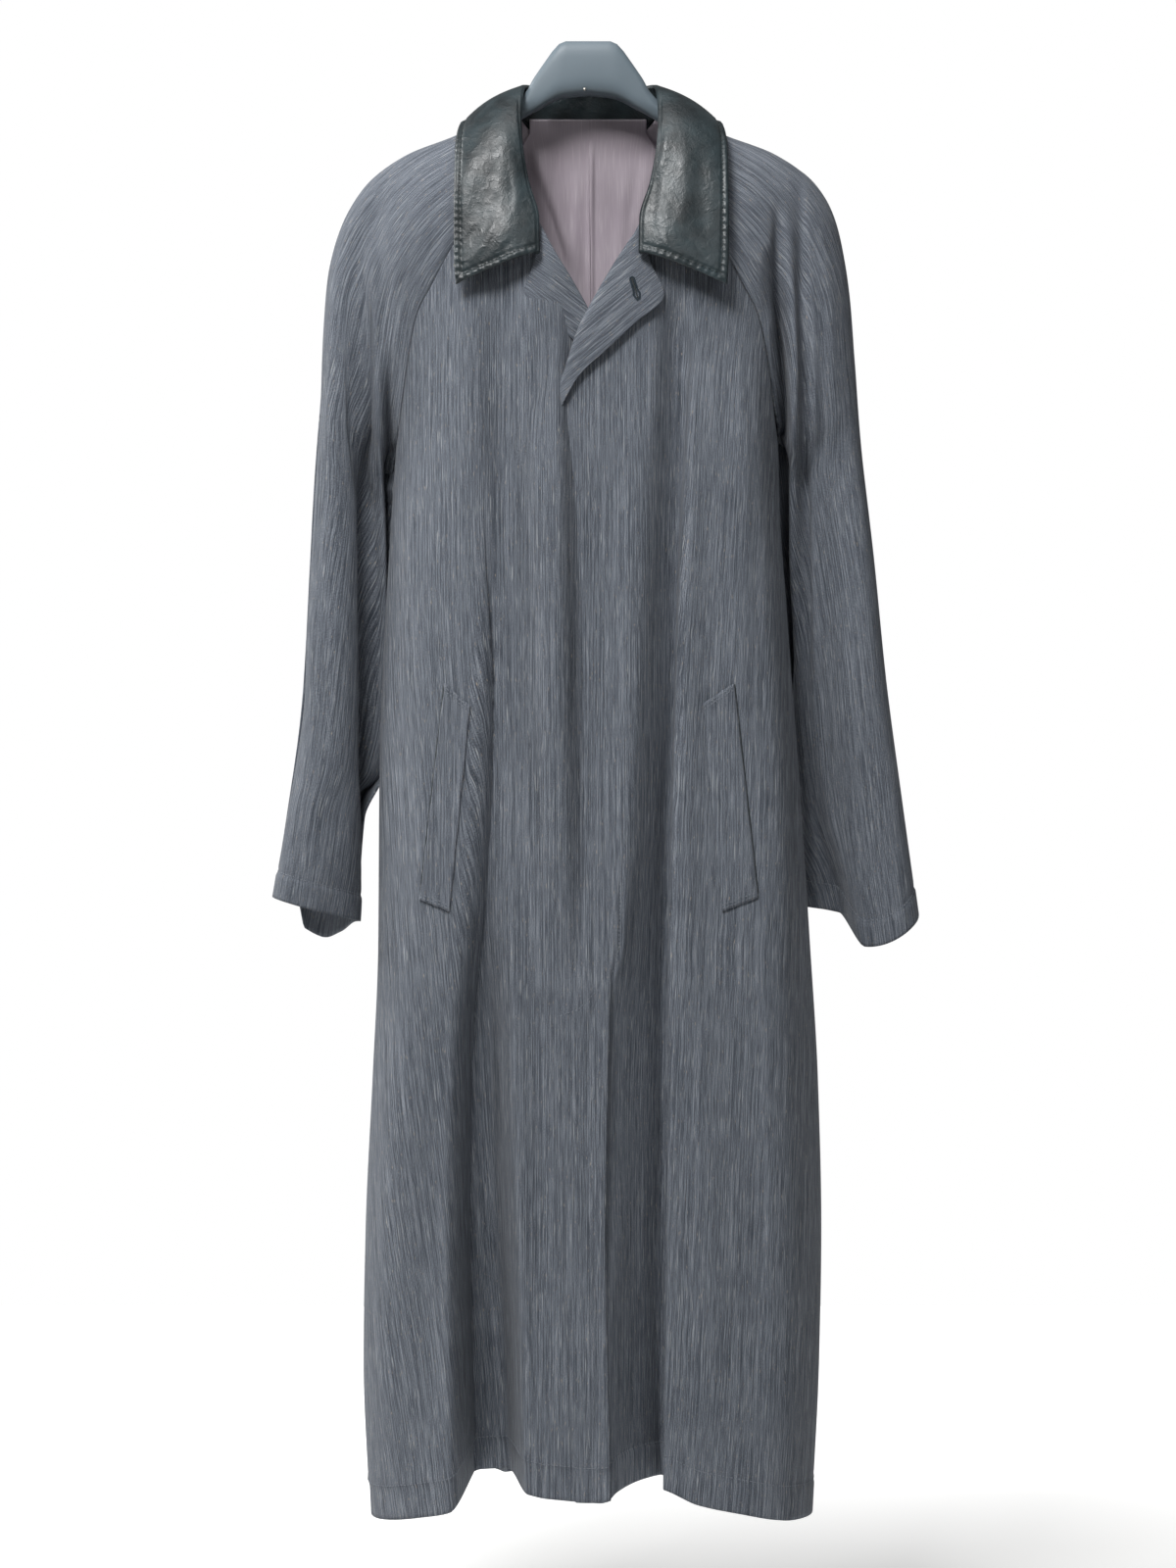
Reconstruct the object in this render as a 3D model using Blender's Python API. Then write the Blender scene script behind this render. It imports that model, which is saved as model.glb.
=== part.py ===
"""Raglan coat on its hanger: every cut piece of cloth is a thin closed wall.

Sizes are millimetres until a mesh is made. +X is the wearer's left, +Y the wearer's back,
and drop is the distance below the flat top of the hanger, where the origin lies.
"""
import bisect
import math

import bmesh
import bpy
from mathutils import Vector

MM = 0.001

# Cloth thickness, and the clearances between pieces
WOOL = 2.0
LEATHER = 2.0
SATIN = 1.0
SEAM = 0.3
LAY = 0.6
FACE_ALIKE = 0.3

# Levels and angles that the cut hangs on; angle 0 is the centre front, 90 the wearer's left edge
ARMPIT = 400.0
HEM = 1290.0
SIDE_SEAM = 100.0
ROUNDNESS = 0.8
TUCK_TURN = 0.57

# Grid steps: along the raglan seams, down the body, down the arms, across the sleeve halves
RAGLAN_STEPS = 9
BODY_STEPS = 15
ARM_STEPS = 12
SLEEVE_COLUMNS = 10
ARMPIT_STATION = 7
CUFF_STATION = 11

# Body sections: drop, right edge, left edge, front depth, back depth, tuck behind the sleeves
BODY = (
    (60, 205, 205, 22, 34, 0.00),
    (107, 200, 200, 39, 42, 0.00),
    (150, 190, 190, 52, 49, 0.00),
    (200, 180, 180, 61, 53, 0.00),
    (250, 175, 175, 65, 56, 0.00),
    (300, 172.5, 172.5, 67, 57, 0.00),
    (350, 172, 171, 69, 58, 0.00),
    (420, 176, 172, 72, 58, 0.03),
    (520, 182, 178, 78, 60, 0.08),
    (660, 187, 189, 87, 63, 0.09),
    (810, 188, 199, 97, 67, 0.08),
    (930, 193, 206, 104, 71, 0.04),
    (1060, 199, 209, 111, 76, 0.00),
    (1180, 201, 207, 116, 81, 0.00),
    (1320, 195, 200, 119, 86, 0.00),
)

# Largest folds: drop, left side, floor from, floor to, right side, depth
FOLD_BY_FLY = (
    (250, -80, -52, -46, -33, 0),
    (330, -80, -52, -46, -32, 8),
    (420, -80, -51, -45, -33, 11),
    (560, -78, -51, -45, -33, 10),
    (700, -76, -51, -45, -33, 6),
    (860, -74, -52, -46, -34, 0),
)
FOLD_RIGHT = (
    (430, -102, -90, -86, -72, 0),
    (520, -102, -90, -86, -70, 6),
    (640, -103, -92, -86, -67, 14),
    (760, -112, -96, -88, -65, 24),
    (900, -122, -102, -90, -61, 39),
    (1050, -124, -104, -84, -57, 60),
    (1180, -122, -102, -76, -54, 82),
    (1320, -119, -100, -71, -52, 98),
)
FOLD_LEFT = (
    (210, 52, 75, 80, 93, 0),
    (310, 47, 75, 80, 92, 11),
    (420, 42, 71, 75, 88, 16),
    (560, 36, 65, 69, 82, 24),
    (700, 29, 58, 62, 76, 31),
    (860, 21, 52, 56, 71, 38),
    (1050, 17, 49, 53, 69, 48),
    (1180, 19, 47, 51, 67, 57),
    (1320, 22, 46, 51, 65, 64),
)
BACK_FOLD_RIGHT = (
    (560, -96, -72, -66, -44, 0),
    (860, -98, -72, -62, -38, 16),
    (1320, -104, -76, -58, -30, 40),
)
BACK_FOLD_LEFT = (
    (500, 30, 54, 60, 84, 0),
    (860, 26, 56, 66, 96, 20),
    (1320, 22, 58, 76, 108, 46),
)
FRONT_FOLDS = (FOLD_BY_FLY, FOLD_RIGHT, FOLD_LEFT)
BACK_FOLDS = (BACK_FOLD_RIGHT, BACK_FOLD_LEFT)

# Hem in front and behind: x, drop
FRONT_HEM = (
    (-200, 1317),
    (-148, 1304),
    (-118, 1296),
    (-96, 1278),
    (-65, 1276),
    (-35, 1282),
    (10, 1285),
    (32, 1277),
    (58, 1273),
    (95, 1288),
    (136, 1298),
    (200, 1314),
)
BACK_HEM = ((-200, 1317), (-100, 1296), (0, 1288), (100, 1294), (200, 1314))

# Front edges from the neck seam, down the roll line and over the break, to the hem: drop, x
EDGE_LEFT = (
    (122, 73),
    (145, 59.5),
    (169, 47),
    (204, 29),
    (234, 13),
    (269, -5),
    (322, -25),
    (350, -36),
    (380, -38),
    (494, -34),
    (717, -31),
    (867, -30),
    (1047, -23),
    (1320, -9),
)
EDGE_RIGHT = (
    (122, -73),
    (145, -58),
    (171, -43),
    (208, -24),
    (254, 1),
    (300, 21),
    (345, 36),
    (560, 34),
    (700, 27),
    (860, 19),
    (1050, 15),
    (1320, 20),
)

# How far the right front lies below the left one: drop, depth
UNDERLAP = ((150, 4.0), (200, 6.0), (255, 9.5), (345, 9.5), (440, 3.4), (1320, 3.4))
UNDERLAP_START = 62.0
UNDERLAP_RAMP = 54.0
UNDERLAP_GUIDE = 10.0

# Raglan seams from the neck to just above the armpit: station, x out from the middle, drop
RAGLAN_FRONT = (
    (0, 75, 118),
    (1, 103, 165),
    (2, 122, 197),
    (3, 137, 225),
    (4, 151, 251),
    (5, 158, 280),
    (6, 167, 345),
)
RAGLAN_BACK = (
    (0, 50, 75),
    (1, 85, 125),
    (2, 108, 165),
    (3, 125, 200),
    (4, 138, 235),
    (5, 148, 270),
    (6, 160, 335),
)

# Sleeve edges, the outer one the shoulder and overarm seam: station, x out from the middle, drop, y
OUTER_EDGE = {
    "right": (
        (0, 71, 53, 0),
        (1, 114, 81, 3),
        (2, 164, 101, 5),
        (3, 201, 129, 7),
        (4, 222, 167, 8),
        (5, 233, 212, 9),
        (6, 238, 280, 10),
        (7, 245, 378, 11),
        (8, 250, 467, 12),
        (9, 257, 585, 12),
        (10, 271, 691, 10),
        (11, 283, 767, 8),
    ),
    "left": (
        (0, 71, 53, 0),
        (1, 116, 80, 3),
        (2, 168, 100, 5),
        (3, 205, 127, 7),
        (4, 223, 160, 8),
        (5, 235, 222, 9),
        (6, 241, 292, 10),
        (7, 246, 366, 11),
        (8, 258, 467, 12),
        (9, 269, 573, 12),
        (10, 283, 679, 11),
        (11, 297, 781, 10),
    ),
}
INNER_EDGE = {
    "right": (
        (8, 178, 480, 28),
        (9, 183, 590, 33),
        (9.6, 189, 655, 30),
        (10, 202, 697, 23),
        (11, 208, 790, 18),
    ),
    "left": (
        (8, 173, 480, 28),
        (9, 179, 590, 36),
        (10, 186, 690, 42),
        (11, 189, 776, 46),
    ),
}

# Fullness of a sleeve: station, front at the outer and inner edge, back at the outer and inner edge
FULLNESS = (
    (0, 18, 3, 18, 3),
    (2, 27, 5, 27, 6),
    (4, 36, 8, 38, 10),
    (7, 52, 16, 64, 22),
    (9, 66, 46, 82, 56),
    (11, 60, 44, 76, 52),
)
INNER_PULL = 0.35

# Long crease down the front of each sleeve: station, share of the way in, depth
CREASE = {
    "right": ((2.5, 0.38, 0), (4.5, 0.43, 6), (7, 0.55, 8), (9, 0.66, 8), (10.5, 0.7, 0)),
    "left": ((2.5, 0.50, 0), (4.5, 0.56, 6), (7, 0.64, 8), (9, 0.7, 8), (10.5, 0.7, 0)),
}
CREASE_SPREAD = 0.2
SEAM_CLEAR = 0.22

# Where the front of a sleeve folds back towards its inner edge: station, share of the way in, strength
FOLD_BACK = {
    "right": (
        (5.5, 0.50, 0),
        (7, 0.58, 0.4),
        (8, 0.67, 0.75),
        (9, 0.74, 0.9),
        (9.6, 0.78, 0.7),
        (10.2, 0.80, 0),
    ),
    "left": (
        (5.5, 0.60, 0),
        (7, 0.66, 0.3),
        (8, 0.74, 0.6),
        (9, 0.78, 0.7),
        (10, 0.73, 0.8),
        (11, 0.57, 1),
    ),
}
FOLD_BACK_SPREAD = 0.15
FOLD_BACK_DEPTH = 12.0

# How far the cuffs hang below the line of their ends: share of the way in, depth
CUFF_DIP = {
    "left_front": ((0, 0), (0.12, 8), (0.56, 33), (0.7, 5), (1, 0)),
    "left_back": ((0, 0), (1, 0)),
    "right_front": ((0, 0), (1, 0)),
    "right_back": ((0, 0), (0.36, 2), (0.46, 24), (0.62, 27), (0.8, 16), (0.95, 2), (1, 0)),
}
DIP_START = 9.6

# Collar from the centre back, 0, to its front end, 1: share, x out, y, drop
COLLAR_FOLD = (
    (0.00, 0, 47, 37),
    (0.12, 33, 42, 36.5),
    (0.24, 53, 25, 35),
    (0.355, 62, -4, 40),
    (0.50, 63, -32, 66),
    (0.63, 61, -48, 98),
    (0.76, 55, -57, 136),
    (0.89, 46, -68, 171),
    (1.00, 45.5, -74, 201),
)
COLLAR_EDGE = (
    (0.00, 0, 68, 110),
    (0.12, 55, 63, 104),
    (0.24, 97, 38, 88),
    (0.355, 116, 0, 75),
    (0.50, 120, -43, 106),
    (0.63, 120, -62, 148),
    (0.76, 120, -67, 182),
    (0.89, 119.5, -72, 210),
    (1.00, 118, -74, 229),
)
COLLAR_COLUMNS = 32
COLLAR_STRETCH = {"left": 1.03, "right": 0.98}
COLLAR_CROWN = 5.0
COLLAR_ROLL = 2.7
ROLL_STEPS = 4
STAND_ROWS = 2
FALL_ROWS = 5
GORGE_END = (60, -65, 194)
NECK_EDGE_POINTS = 3
STAND_RISE = 1.0
RUN_STEP = 0.02
STAND_INSET = 2.0
STAND_FADE = 0.4

# Lapels: share, roll line x and drop, edge x and drop, lift of the edge
LAPELS = {
    "left": (
        (0.00, 45, 178, 49, 184, 0.5),
        (0.12, 40, 187, 55, 208, 1),
        (0.28, 29, 206, 67, 237, 3),
        (0.45, 11, 238, 42, 262, 6),
        (0.62, -6, 271, 16, 286, 8),
        (0.80, -18, 305, -8, 309, 7),
        (1.00, -34, 346, -31, 351, 3),
    ),
    "right": (
        (0.00, -41, 179, -44, 185, 0.5),
        (0.12, -37, 187, -48, 209, 1),
        (0.28, -28, 204, -56, 234, 2),
        (0.45, -14, 227, -36, 255, 3),
        (0.62, 0, 252, -17, 272, 2),
        (0.80, 15, 284, 6, 292, 0),
        (1.00, 33, 324, 30, 327, 0),
    ),
}
LAPEL_ROWS = 10
LAPEL_LAY = {"left": 0.9, "right": 1.2}
LAPEL_COLUMNS = 4

# Pocket welts: corner x and drop in the order top inner, top outer, bottom inner, bottom outer
WELTS = {
    "left": ((100, 596), (127.5, 578), (116.5, 777), (148, 765)),
    "right": ((-102, 598), (-125, 578), (-120, 777), (-146.5, 767)),
}
WELT_ROWS = 8
WELT_COLUMNS = 2
WELT_THICK = 1.6
SLOPE_STEP = 1.0

# Columns between a panel's edges and its fold lines; two more guides turn a front to its side seam
FRONT_COLUMNS = {"left": (3, 2, 1, 2, 3, 2, 2), "right": (3, 2, 2, 1, 2, 3, 2, 2)}
BACK_COLUMNS = (3, 2, 1, 2, 2, 2, 2, 1, 2, 3)
LINING_ROWS = 11
SIDE_GUIDE = 0.55
TURN_GUIDE = 78.0

# Hanger: x, underside drop, half thickness; then the top outline of its head: x, drop, y
HANGER_FORM = (
    (0, 47.5, 13),
    (22, 50, 13),
    (45, 61, 10),
    (62, 71, 7.5),
    (100, 98, 7.5),
    (150, 122, 8.5),
    (190, 146, 9.5),
)
HANGER_HEAD = ((0, 0, 0), (20, 0, 0), (26, 2.5, 0), (32, 9, 0), (49, 33, 0), (55, 44, 0), (62, 51.5, 0))
HANGER_STOPS = (0.0, 10.0, 20.0, 23.0, 26.0, 29.0, 32.0, 38.0, 45.0, 51.0, 55.0, 59.0)
HANGER_REACH = 190.0
HANGER_END = 9.0
HANGER_TIP = 4.0
TIP_EASE = 0.12
TIP_HEIGHT = 0.45
TIP_HALF = 0.5
HANGER_SIDES = 16
HANGER_SQUARE = 0.55
ARM_POINTED = 1.3
HANGER_SEAT = 3.4
ARM_START = 40.0
ARM_BLEND = 25.0
SHARP_ANGLE = 40.0

COLOURS = {
    "wool": ((0.122, 0.136, 0.160), 0.85),
    "leather": ((0.042, 0.054, 0.054), 0.42),
    "satin": ((0.275, 0.235, 0.278), 0.38),
    "plastic": ((0.114, 0.147, 0.174), 0.40),
}


# Small tools
def smoothstep(value):
    """Ease from 0 to 1."""
    value = min(max(value, 0.0), 1.0)
    return value * value * (3.0 - 2.0 * value)


def slope(rows, index, column):
    """Slope of a table's column at one of its rows, flat where the column turns."""
    last = len(rows) - 1
    before = rows[max(index, 1)]
    start = rows[max(index, 1) - 1]
    left = (before[column] - start[column]) / (before[0] - start[0])
    if index in (0, last):
        return left
    after = rows[index + 1]
    right = (after[column] - rows[index][column]) / (after[0] - rows[index][0])
    if left * right <= 0.0:
        return 0.0
    return 2.0 * left * right / (left + right)


def curve(rows, key):
    """The columns of a table at a key, on smooth curves through its rows."""
    keys = [row[0] for row in rows]
    key = min(max(key, keys[0]), keys[-1])
    index = min(max(bisect.bisect_right(keys, key) - 1, 0), len(rows) - 2)
    span = keys[index + 1] - keys[index]
    share = (key - keys[index]) / span
    ease = smoothstep(share)
    values = []
    for column in range(1, len(rows[0])):
        start = rows[index][column]
        end = rows[index + 1][column]
        bend_in = slope(rows, index, column) * span * share * (1.0 - share) ** 2
        bend_out = slope(rows, index + 1, column) * span * share ** 2 * (share - 1.0)
        values.append(start + (end - start) * ease + bend_in + bend_out)
    return values


def between(start, end, share):
    """A value part of the way from start to end."""
    return start + (end - start) * share


def flat(vector):
    """A vector without its height, of length one."""
    return Vector((vector.x, vector.y, 0.0)).normalized()


# Body surface
def fold(rows, x, drop):
    """Depth of one fold at a place."""
    left, floor_left, floor_right, right, depth = curve(rows, drop)
    rise = smoothstep((x - left) / (floor_left - left))
    fall = smoothstep((right - x) / (right - floor_right))
    return depth * min(rise, fall)


def ring(angle, drop):
    """A point of the body's outer face."""
    right, left, front, back, tuck = curve(BODY, drop)
    sine = math.sin(math.radians(angle))
    cosine = math.cos(math.radians(angle))
    half = left if sine > 0.0 else right
    x = math.copysign(half * abs(sine) ** ROUNDNESS, sine)
    if cosine >= 0.0:
        y = -front * cosine ** ROUNDNESS + sum(fold(rows, x, drop) for rows in FRONT_FOLDS)
    else:
        y = back * (-cosine) ** ROUNDNESS - sum(fold(rows, x, drop) for rows in BACK_FOLDS)
        x *= 1.0 - tuck * smoothstep(-cosine / TUCK_TURN)
    return Vector((x, y, -drop))


def angle_at(x, drop):
    """Angle of the front face's point at a given x."""
    right, left = curve(BODY, drop)[:2]
    half = left if x > 0.0 else right
    share = min(abs(x) / half, 1.0) ** (1.0 / ROUNDNESS)
    return math.copysign(math.degrees(math.asin(share)), x)


def front_face(side, x, drop):
    """A point of a front's outer face; the right front passes below the left one."""
    point = ring(angle_at(x, drop), drop)
    return tucked(side, point)


def tucked(side, point):
    """A front's point with the underlap's depth."""
    if side == "left":
        return point
    start = curve(EDGE_LEFT, -point.z)[0] - UNDERLAP_START
    depth = curve(UNDERLAP, -point.z)[0]
    return point + Vector((0.0, depth * smoothstep((point.x - start) / UNDERLAP_RAMP), 0.0))


def raglan(side, rows, station):
    """Angle and drop of a raglan seam at a station; both seams end on the side seam."""
    behind = rows is RAGLAN_BACK
    angles = []
    for number, out, drop in rows:
        angle = angle_at(out, drop)
        angles.append((number, 180.0 - angle if behind else angle, drop))
    angles.append((ARMPIT_STATION, SIDE_SEAM, ARMPIT))
    angle, drop = curve(angles, station)
    return angle * (1.0 if side == "left" else -1.0), drop


def front_shares(side, drop):
    """Where a front's columns lie from its edge, 0, to its side seam, 1."""
    sign = 1.0 if side == "left" else -1.0
    edge = angle_at(curve(EDGE_LEFT if side == "left" else EDGE_RIGHT, drop)[0], drop)
    seam = sign * SIDE_SEAM
    marks = list(curve(FOLD_LEFT if side == "left" else FOLD_RIGHT, drop)[:4])
    if side == "right":
        marks = [curve(EDGE_LEFT, drop)[0] - UNDERLAP_GUIDE] + marks[::-1]
    half = curve(BODY, drop)[1 if side == "left" else 0]
    angles = [edge] + [angle_at(x, drop) for x in marks]
    angles.append(angle_at(sign * between(abs(marks[-1]), half, SIDE_GUIDE), drop))
    angles.append(sign * TURN_GUIDE)
    angles.append(seam)
    shares = []
    for index, count in enumerate(FRONT_COLUMNS[side]):
        for step in range(count):
            angle = between(angles[index], angles[index + 1], step / count)
            shares.append((angle - edge) / (seam - edge))
    return shares + [1.0]


def front_grid(side):
    """Rows of points of a front, from the neck to the hem."""
    sign = 1.0 if side == "left" else -1.0
    edge_rows = EDGE_LEFT if side == "left" else EDGE_RIGHT
    neck = edge_rows[0][0]
    grid = []
    for row in range(RAGLAN_STEPS):
        share = row / RAGLAN_STEPS
        seam_angle, seam_drop = raglan(side, RAGLAN_FRONT, ARMPIT_STATION * share)
        edge_drop = between(neck, ARMPIT, share)
        edge_angle = angle_at(curve(edge_rows, edge_drop)[0], edge_drop)
        line = []
        for across in front_shares(side, ARMPIT):
            drop = between(edge_drop, seam_drop, across)
            line.append(tucked(side, ring(between(edge_angle, seam_angle, across), drop)))
        grid.append(line)
    for row in range(BODY_STEPS + 1):
        share = row / BODY_STEPS
        level = between(ARMPIT, HEM, share)
        edge_angle = angle_at(curve(edge_rows, level)[0], level)
        line = []
        for across in front_shares(side, level):
            angle = between(edge_angle, sign * SIDE_SEAM, across)
            hem = curve(FRONT_HEM, ring(angle, level).x)[0]
            drop = between(ARMPIT, hem, share)
            line.append(tucked(side, ring(angle, drop)))
        grid.append(line)
    if side == "right":
        grid = [line[::-1] for line in grid]
    return grid


def back_angles(level):
    """Angles of the back's columns, from the left side seam to the right one."""
    left = curve(BACK_FOLD_LEFT, level)[:4][::-1]
    right = curve(BACK_FOLD_RIGHT, level)[:4][::-1]
    marks = left + [0.0] + right
    angles = [SIDE_SEAM] + [180.0 - angle_at(x, level) for x in marks] + [360.0 - SIDE_SEAM]
    columns = []
    for index, count in enumerate(BACK_COLUMNS):
        for step in range(count):
            columns.append(between(angles[index], angles[index + 1], step / count))
    return columns + [angles[-1]]


def back_grid():
    """Rows of points of the back, from the neck to the hem."""
    grid = []
    spread = 360.0 - 2.0 * SIDE_SEAM
    for row in range(RAGLAN_STEPS):
        seam_angle, drop = raglan("left", RAGLAN_BACK, ARMPIT_STATION * row / RAGLAN_STEPS)
        line = []
        for angle in back_angles(ARMPIT):
            across = (angle - SIDE_SEAM) / spread
            line.append(ring(between(seam_angle, 360.0 - seam_angle, across), drop))
        grid.append(line)
    for row in range(BODY_STEPS + 1):
        share = row / BODY_STEPS
        level = between(ARMPIT, HEM, share)
        line = []
        for angle in back_angles(level):
            hem = curve(BACK_HEM, ring(angle, level).x)[0]
            if angle in (SIDE_SEAM, 360.0 - SIDE_SEAM):
                hem = curve(FRONT_HEM, ring(angle, level).x)[0]
            line.append(ring(angle, between(ARMPIT, hem, share)))
        grid.append(line)
    return grid


# Sleeves
def inner_edge(side, half, station):
    """A point of a sleeve's raglan seam or, below the armpit, of its underarm seam."""
    sign = 1.0 if side == "left" else -1.0
    if station <= ARMPIT_STATION:
        angle, drop = raglan(side, RAGLAN_FRONT if half == "front" else RAGLAN_BACK, station)
        return ring(angle, drop)
    armpit = ring(sign * SIDE_SEAM, ARMPIT)
    rows = [(ARMPIT_STATION, abs(armpit.x), ARMPIT, armpit.y)] + list(INNER_EDGE[side])
    out, drop, y = curve(rows, station)
    return Vector((sign * out, y, -drop))


def sleeve_point(side, half, station, across):
    """A point of a sleeve half; across runs from the outer edge, 0, to the inner edge, 1."""
    sign = 1.0 if side == "left" else -1.0
    out, drop, y = curve(OUTER_EDGE[side], station)
    outer = Vector((sign * out, y, -drop))
    inner = inner_edge(side, half, station)
    front_outer, front_inner, back_outer, back_inner = curve(FULLNESS, station)
    near = -front_outer if half == "front" else back_outer
    far = -front_inner if half == "front" else back_inner
    pull = (outer - inner) * INNER_PULL
    handle_outer = outer + Vector((0.0, near, 0.0))
    handle_inner = inner + Vector((pull.x, far, pull.z))
    rest = 1.0 - across
    point = outer * rest ** 3 + handle_outer * (3.0 * across * rest ** 2)
    point += handle_inner * (3.0 * across ** 2 * rest) + inner * across ** 3
    clear = smoothstep((1.0 - across) / SEAM_CLEAR)
    if half == "front":
        place, depth = curve(CREASE[side], station)
        point.y += depth * clear * smoothstep(1.0 - abs(across - place) / CREASE_SPREAD)
        place, strength = curve(FOLD_BACK[side], station)
        behind = inner.y - FOLD_BACK_DEPTH - point.y
        point.y += behind * strength * clear * smoothstep((across - place) / FOLD_BACK_SPREAD)
    hang = smoothstep((station - DIP_START) / (CUFF_STATION - DIP_START))
    point.z -= curve(CUFF_DIP[side + "_" + half], across)[0] * hang
    return point


def sleeve_stations():
    """Stations of a sleeve's rows; the first ones match the rows of the raglan seams."""
    upper = [ARMPIT_STATION * row / RAGLAN_STEPS for row in range(RAGLAN_STEPS)]
    arm = CUFF_STATION - ARMPIT_STATION
    return upper + [ARMPIT_STATION + arm * row / ARM_STEPS for row in range(ARM_STEPS + 1)]


def sleeve_grid(side, half):
    """Rows of points of a sleeve half, from the neck to the cuff."""
    shares = [column / SLEEVE_COLUMNS for column in range(SLEEVE_COLUMNS + 1)]
    if (side == "left") == (half == "front"):
        shares = shares[::-1]
    return [[sleeve_point(side, half, station, share) for share in shares]
            for station in sleeve_stations()]


# Pieces laid on the panels
def lapel_grid(side):
    """Rows of points of a turned-back lapel, moved out from its front."""
    grid = []
    for row in range(LAPEL_ROWS + 1):
        roll_x, roll_drop, edge_x, edge_drop, lift = curve(LAPELS[side], row / LAPEL_ROWS)
        line = []
        for column in range(LAPEL_COLUMNS + 1):
            share = column / LAPEL_COLUMNS
            x = between(roll_x, edge_x, share)
            point = front_face(side, x, between(roll_drop, edge_drop, share))
            point.y -= LAPEL_LAY[side] + WOOL + lift * smoothstep(share)
            line.append(point)
        grid.append(line if side == "left" else line[::-1])
    return grid


def welt_grid(side):
    """Rows of points of a pocket welt, moved out from its front."""
    top_inner, top_outer, low_inner, low_outer = WELTS[side]
    grid = []
    for row in range(WELT_ROWS + 1):
        down = row / WELT_ROWS
        line = []
        for column in range(WELT_COLUMNS + 1):
            across = column / WELT_COLUMNS
            x = between(between(top_inner[0], top_outer[0], across),
                        between(low_inner[0], low_outer[0], across), down)
            drop = between(between(top_inner[1], top_outer[1], across),
                           between(low_inner[1], low_outer[1], across), down)
            point = front_face(side, x, drop)
            along = front_face(side, x + SLOPE_STEP, drop) - front_face(side, x - SLOPE_STEP, drop)
            below = front_face(side, x, drop + SLOPE_STEP) - front_face(side, x, drop - SLOPE_STEP)
            line.append(point + below.cross(along).normalized() * (LAY + WELT_THICK))
        grid.append(line if side == "left" else line[::-1])
    return grid


# Collar
def neck_seam(side, panels):
    """Neck edge points from the centre back to the front end on one side."""
    back = panels["back"][0]
    middle = len(back) // 2
    path = back[middle::-1] if side == "left" else back[middle:]
    for half in ("back", "front"):
        row = panels["sleeve_" + side + "_" + half][0]
        forward = row if (row[0] - path[-1]).length < (row[-1] - path[-1]).length else row[::-1]
        path = path + forward[1:]
    edges = EDGE_LEFT if side == "left" else EDGE_RIGHT
    path += [front_face(side, x, drop) for drop, x in edges[:NECK_EDGE_POINTS]]
    sign = 1.0 if side == "left" else -1.0
    return path + [Vector((sign * GORGE_END[0], GORGE_END[1], -GORGE_END[2]))]


def along_path(path, share):
    """A point of a polyline at a share of its length."""
    lengths = [(end - start).length for start, end in zip(path, path[1:])]
    left = share * sum(lengths)
    for start, end, length in zip(path, path[1:], lengths):
        if left <= length:
            return start.lerp(end, left / length)
        left -= length
    return path[-1].copy()


def collar_line(rows, share, side):
    """A point of one of the collar's lines."""
    sign = 1.0 if side == "left" else -1.0
    out, y, drop = curve(rows, share)
    return Vector((sign * out * COLLAR_STRETCH[side], y, -drop))


def collar_section(side, share, path):
    """Points across the collar: up the stand, over the fold and down the fall."""
    top = collar_line(COLLAR_FOLD, share, side)
    edge = collar_line(COLLAR_EDGE, share, side)
    outward = flat(edge - top)
    inset = STAND_INSET * smoothstep((1.0 - share) / STAND_FADE)
    seam = along_path(path, share)
    seam += (top - seam).normalized() * STAND_RISE - outward * inset
    ahead = min(share + RUN_STEP, 1.0)
    behind = max(share - RUN_STEP, 0.0)
    run = collar_line(COLLAR_FOLD, ahead, side) - collar_line(COLLAR_FOLD, behind, side)
    run += collar_line(COLLAR_EDGE, ahead, side) - collar_line(COLLAR_EDGE, behind, side)
    crown = (edge - top).cross(run).normalized() * (1.0 if side == "right" else -1.0)
    upward = (top - edge).normalized()
    points = []
    for step in range(ROLL_STEPS + 1):
        turn = math.pi * (1.0 - step / ROLL_STEPS)
        depth = COLLAR_ROLL * (1.0 - math.cos(turn))
        points.append(top - crown * depth + upward * (COLLAR_ROLL * math.sin(turn)))
    points = [seam.lerp(points[0], row / STAND_ROWS) for row in range(STAND_ROWS)] + points
    for row in range(1, FALL_ROWS + 1):
        down = row / FALL_ROWS
        bulge = COLLAR_CROWN * (1.0 - (2.0 * down - 1.0) ** 2)
        points.append(top.lerp(edge, down) + crown * bulge)
    return points


def collar_grid(panels):
    """Rows of points of the collar, from the neck seam to the fall's edge."""
    columns = []
    for side, steps in (("left", range(COLLAR_COLUMNS // 2, 0, -1)),
                        ("right", range(0, COLLAR_COLUMNS // 2 + 1))):
        path = neck_seam(side, panels)
        for step in steps:
            columns.append(collar_section(side, step / (COLLAR_COLUMNS // 2), path))
    return [list(row) for row in zip(*columns)]


# Solids
def place_key(point):
    """A key that two panels share where their points meet."""
    return tuple(round(value, 3) for value in point)


def facing_sums(panels):
    """Sums of the face normals round each point of a group of panels."""
    sums = {}
    for grid in panels.values():
        for upper, lower in zip(grid, grid[1:]):
            for index in range(len(upper) - 1):
                corners = (upper[index], lower[index], lower[index + 1], upper[index + 1])
                face = (corners[2] - corners[0]).cross(corners[3] - corners[1])
                for corner in corners:
                    sums[place_key(corner)] = sums.get(place_key(corner), Vector()) + face
    return {key: total.normalized() for key, total in sums.items()}


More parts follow.
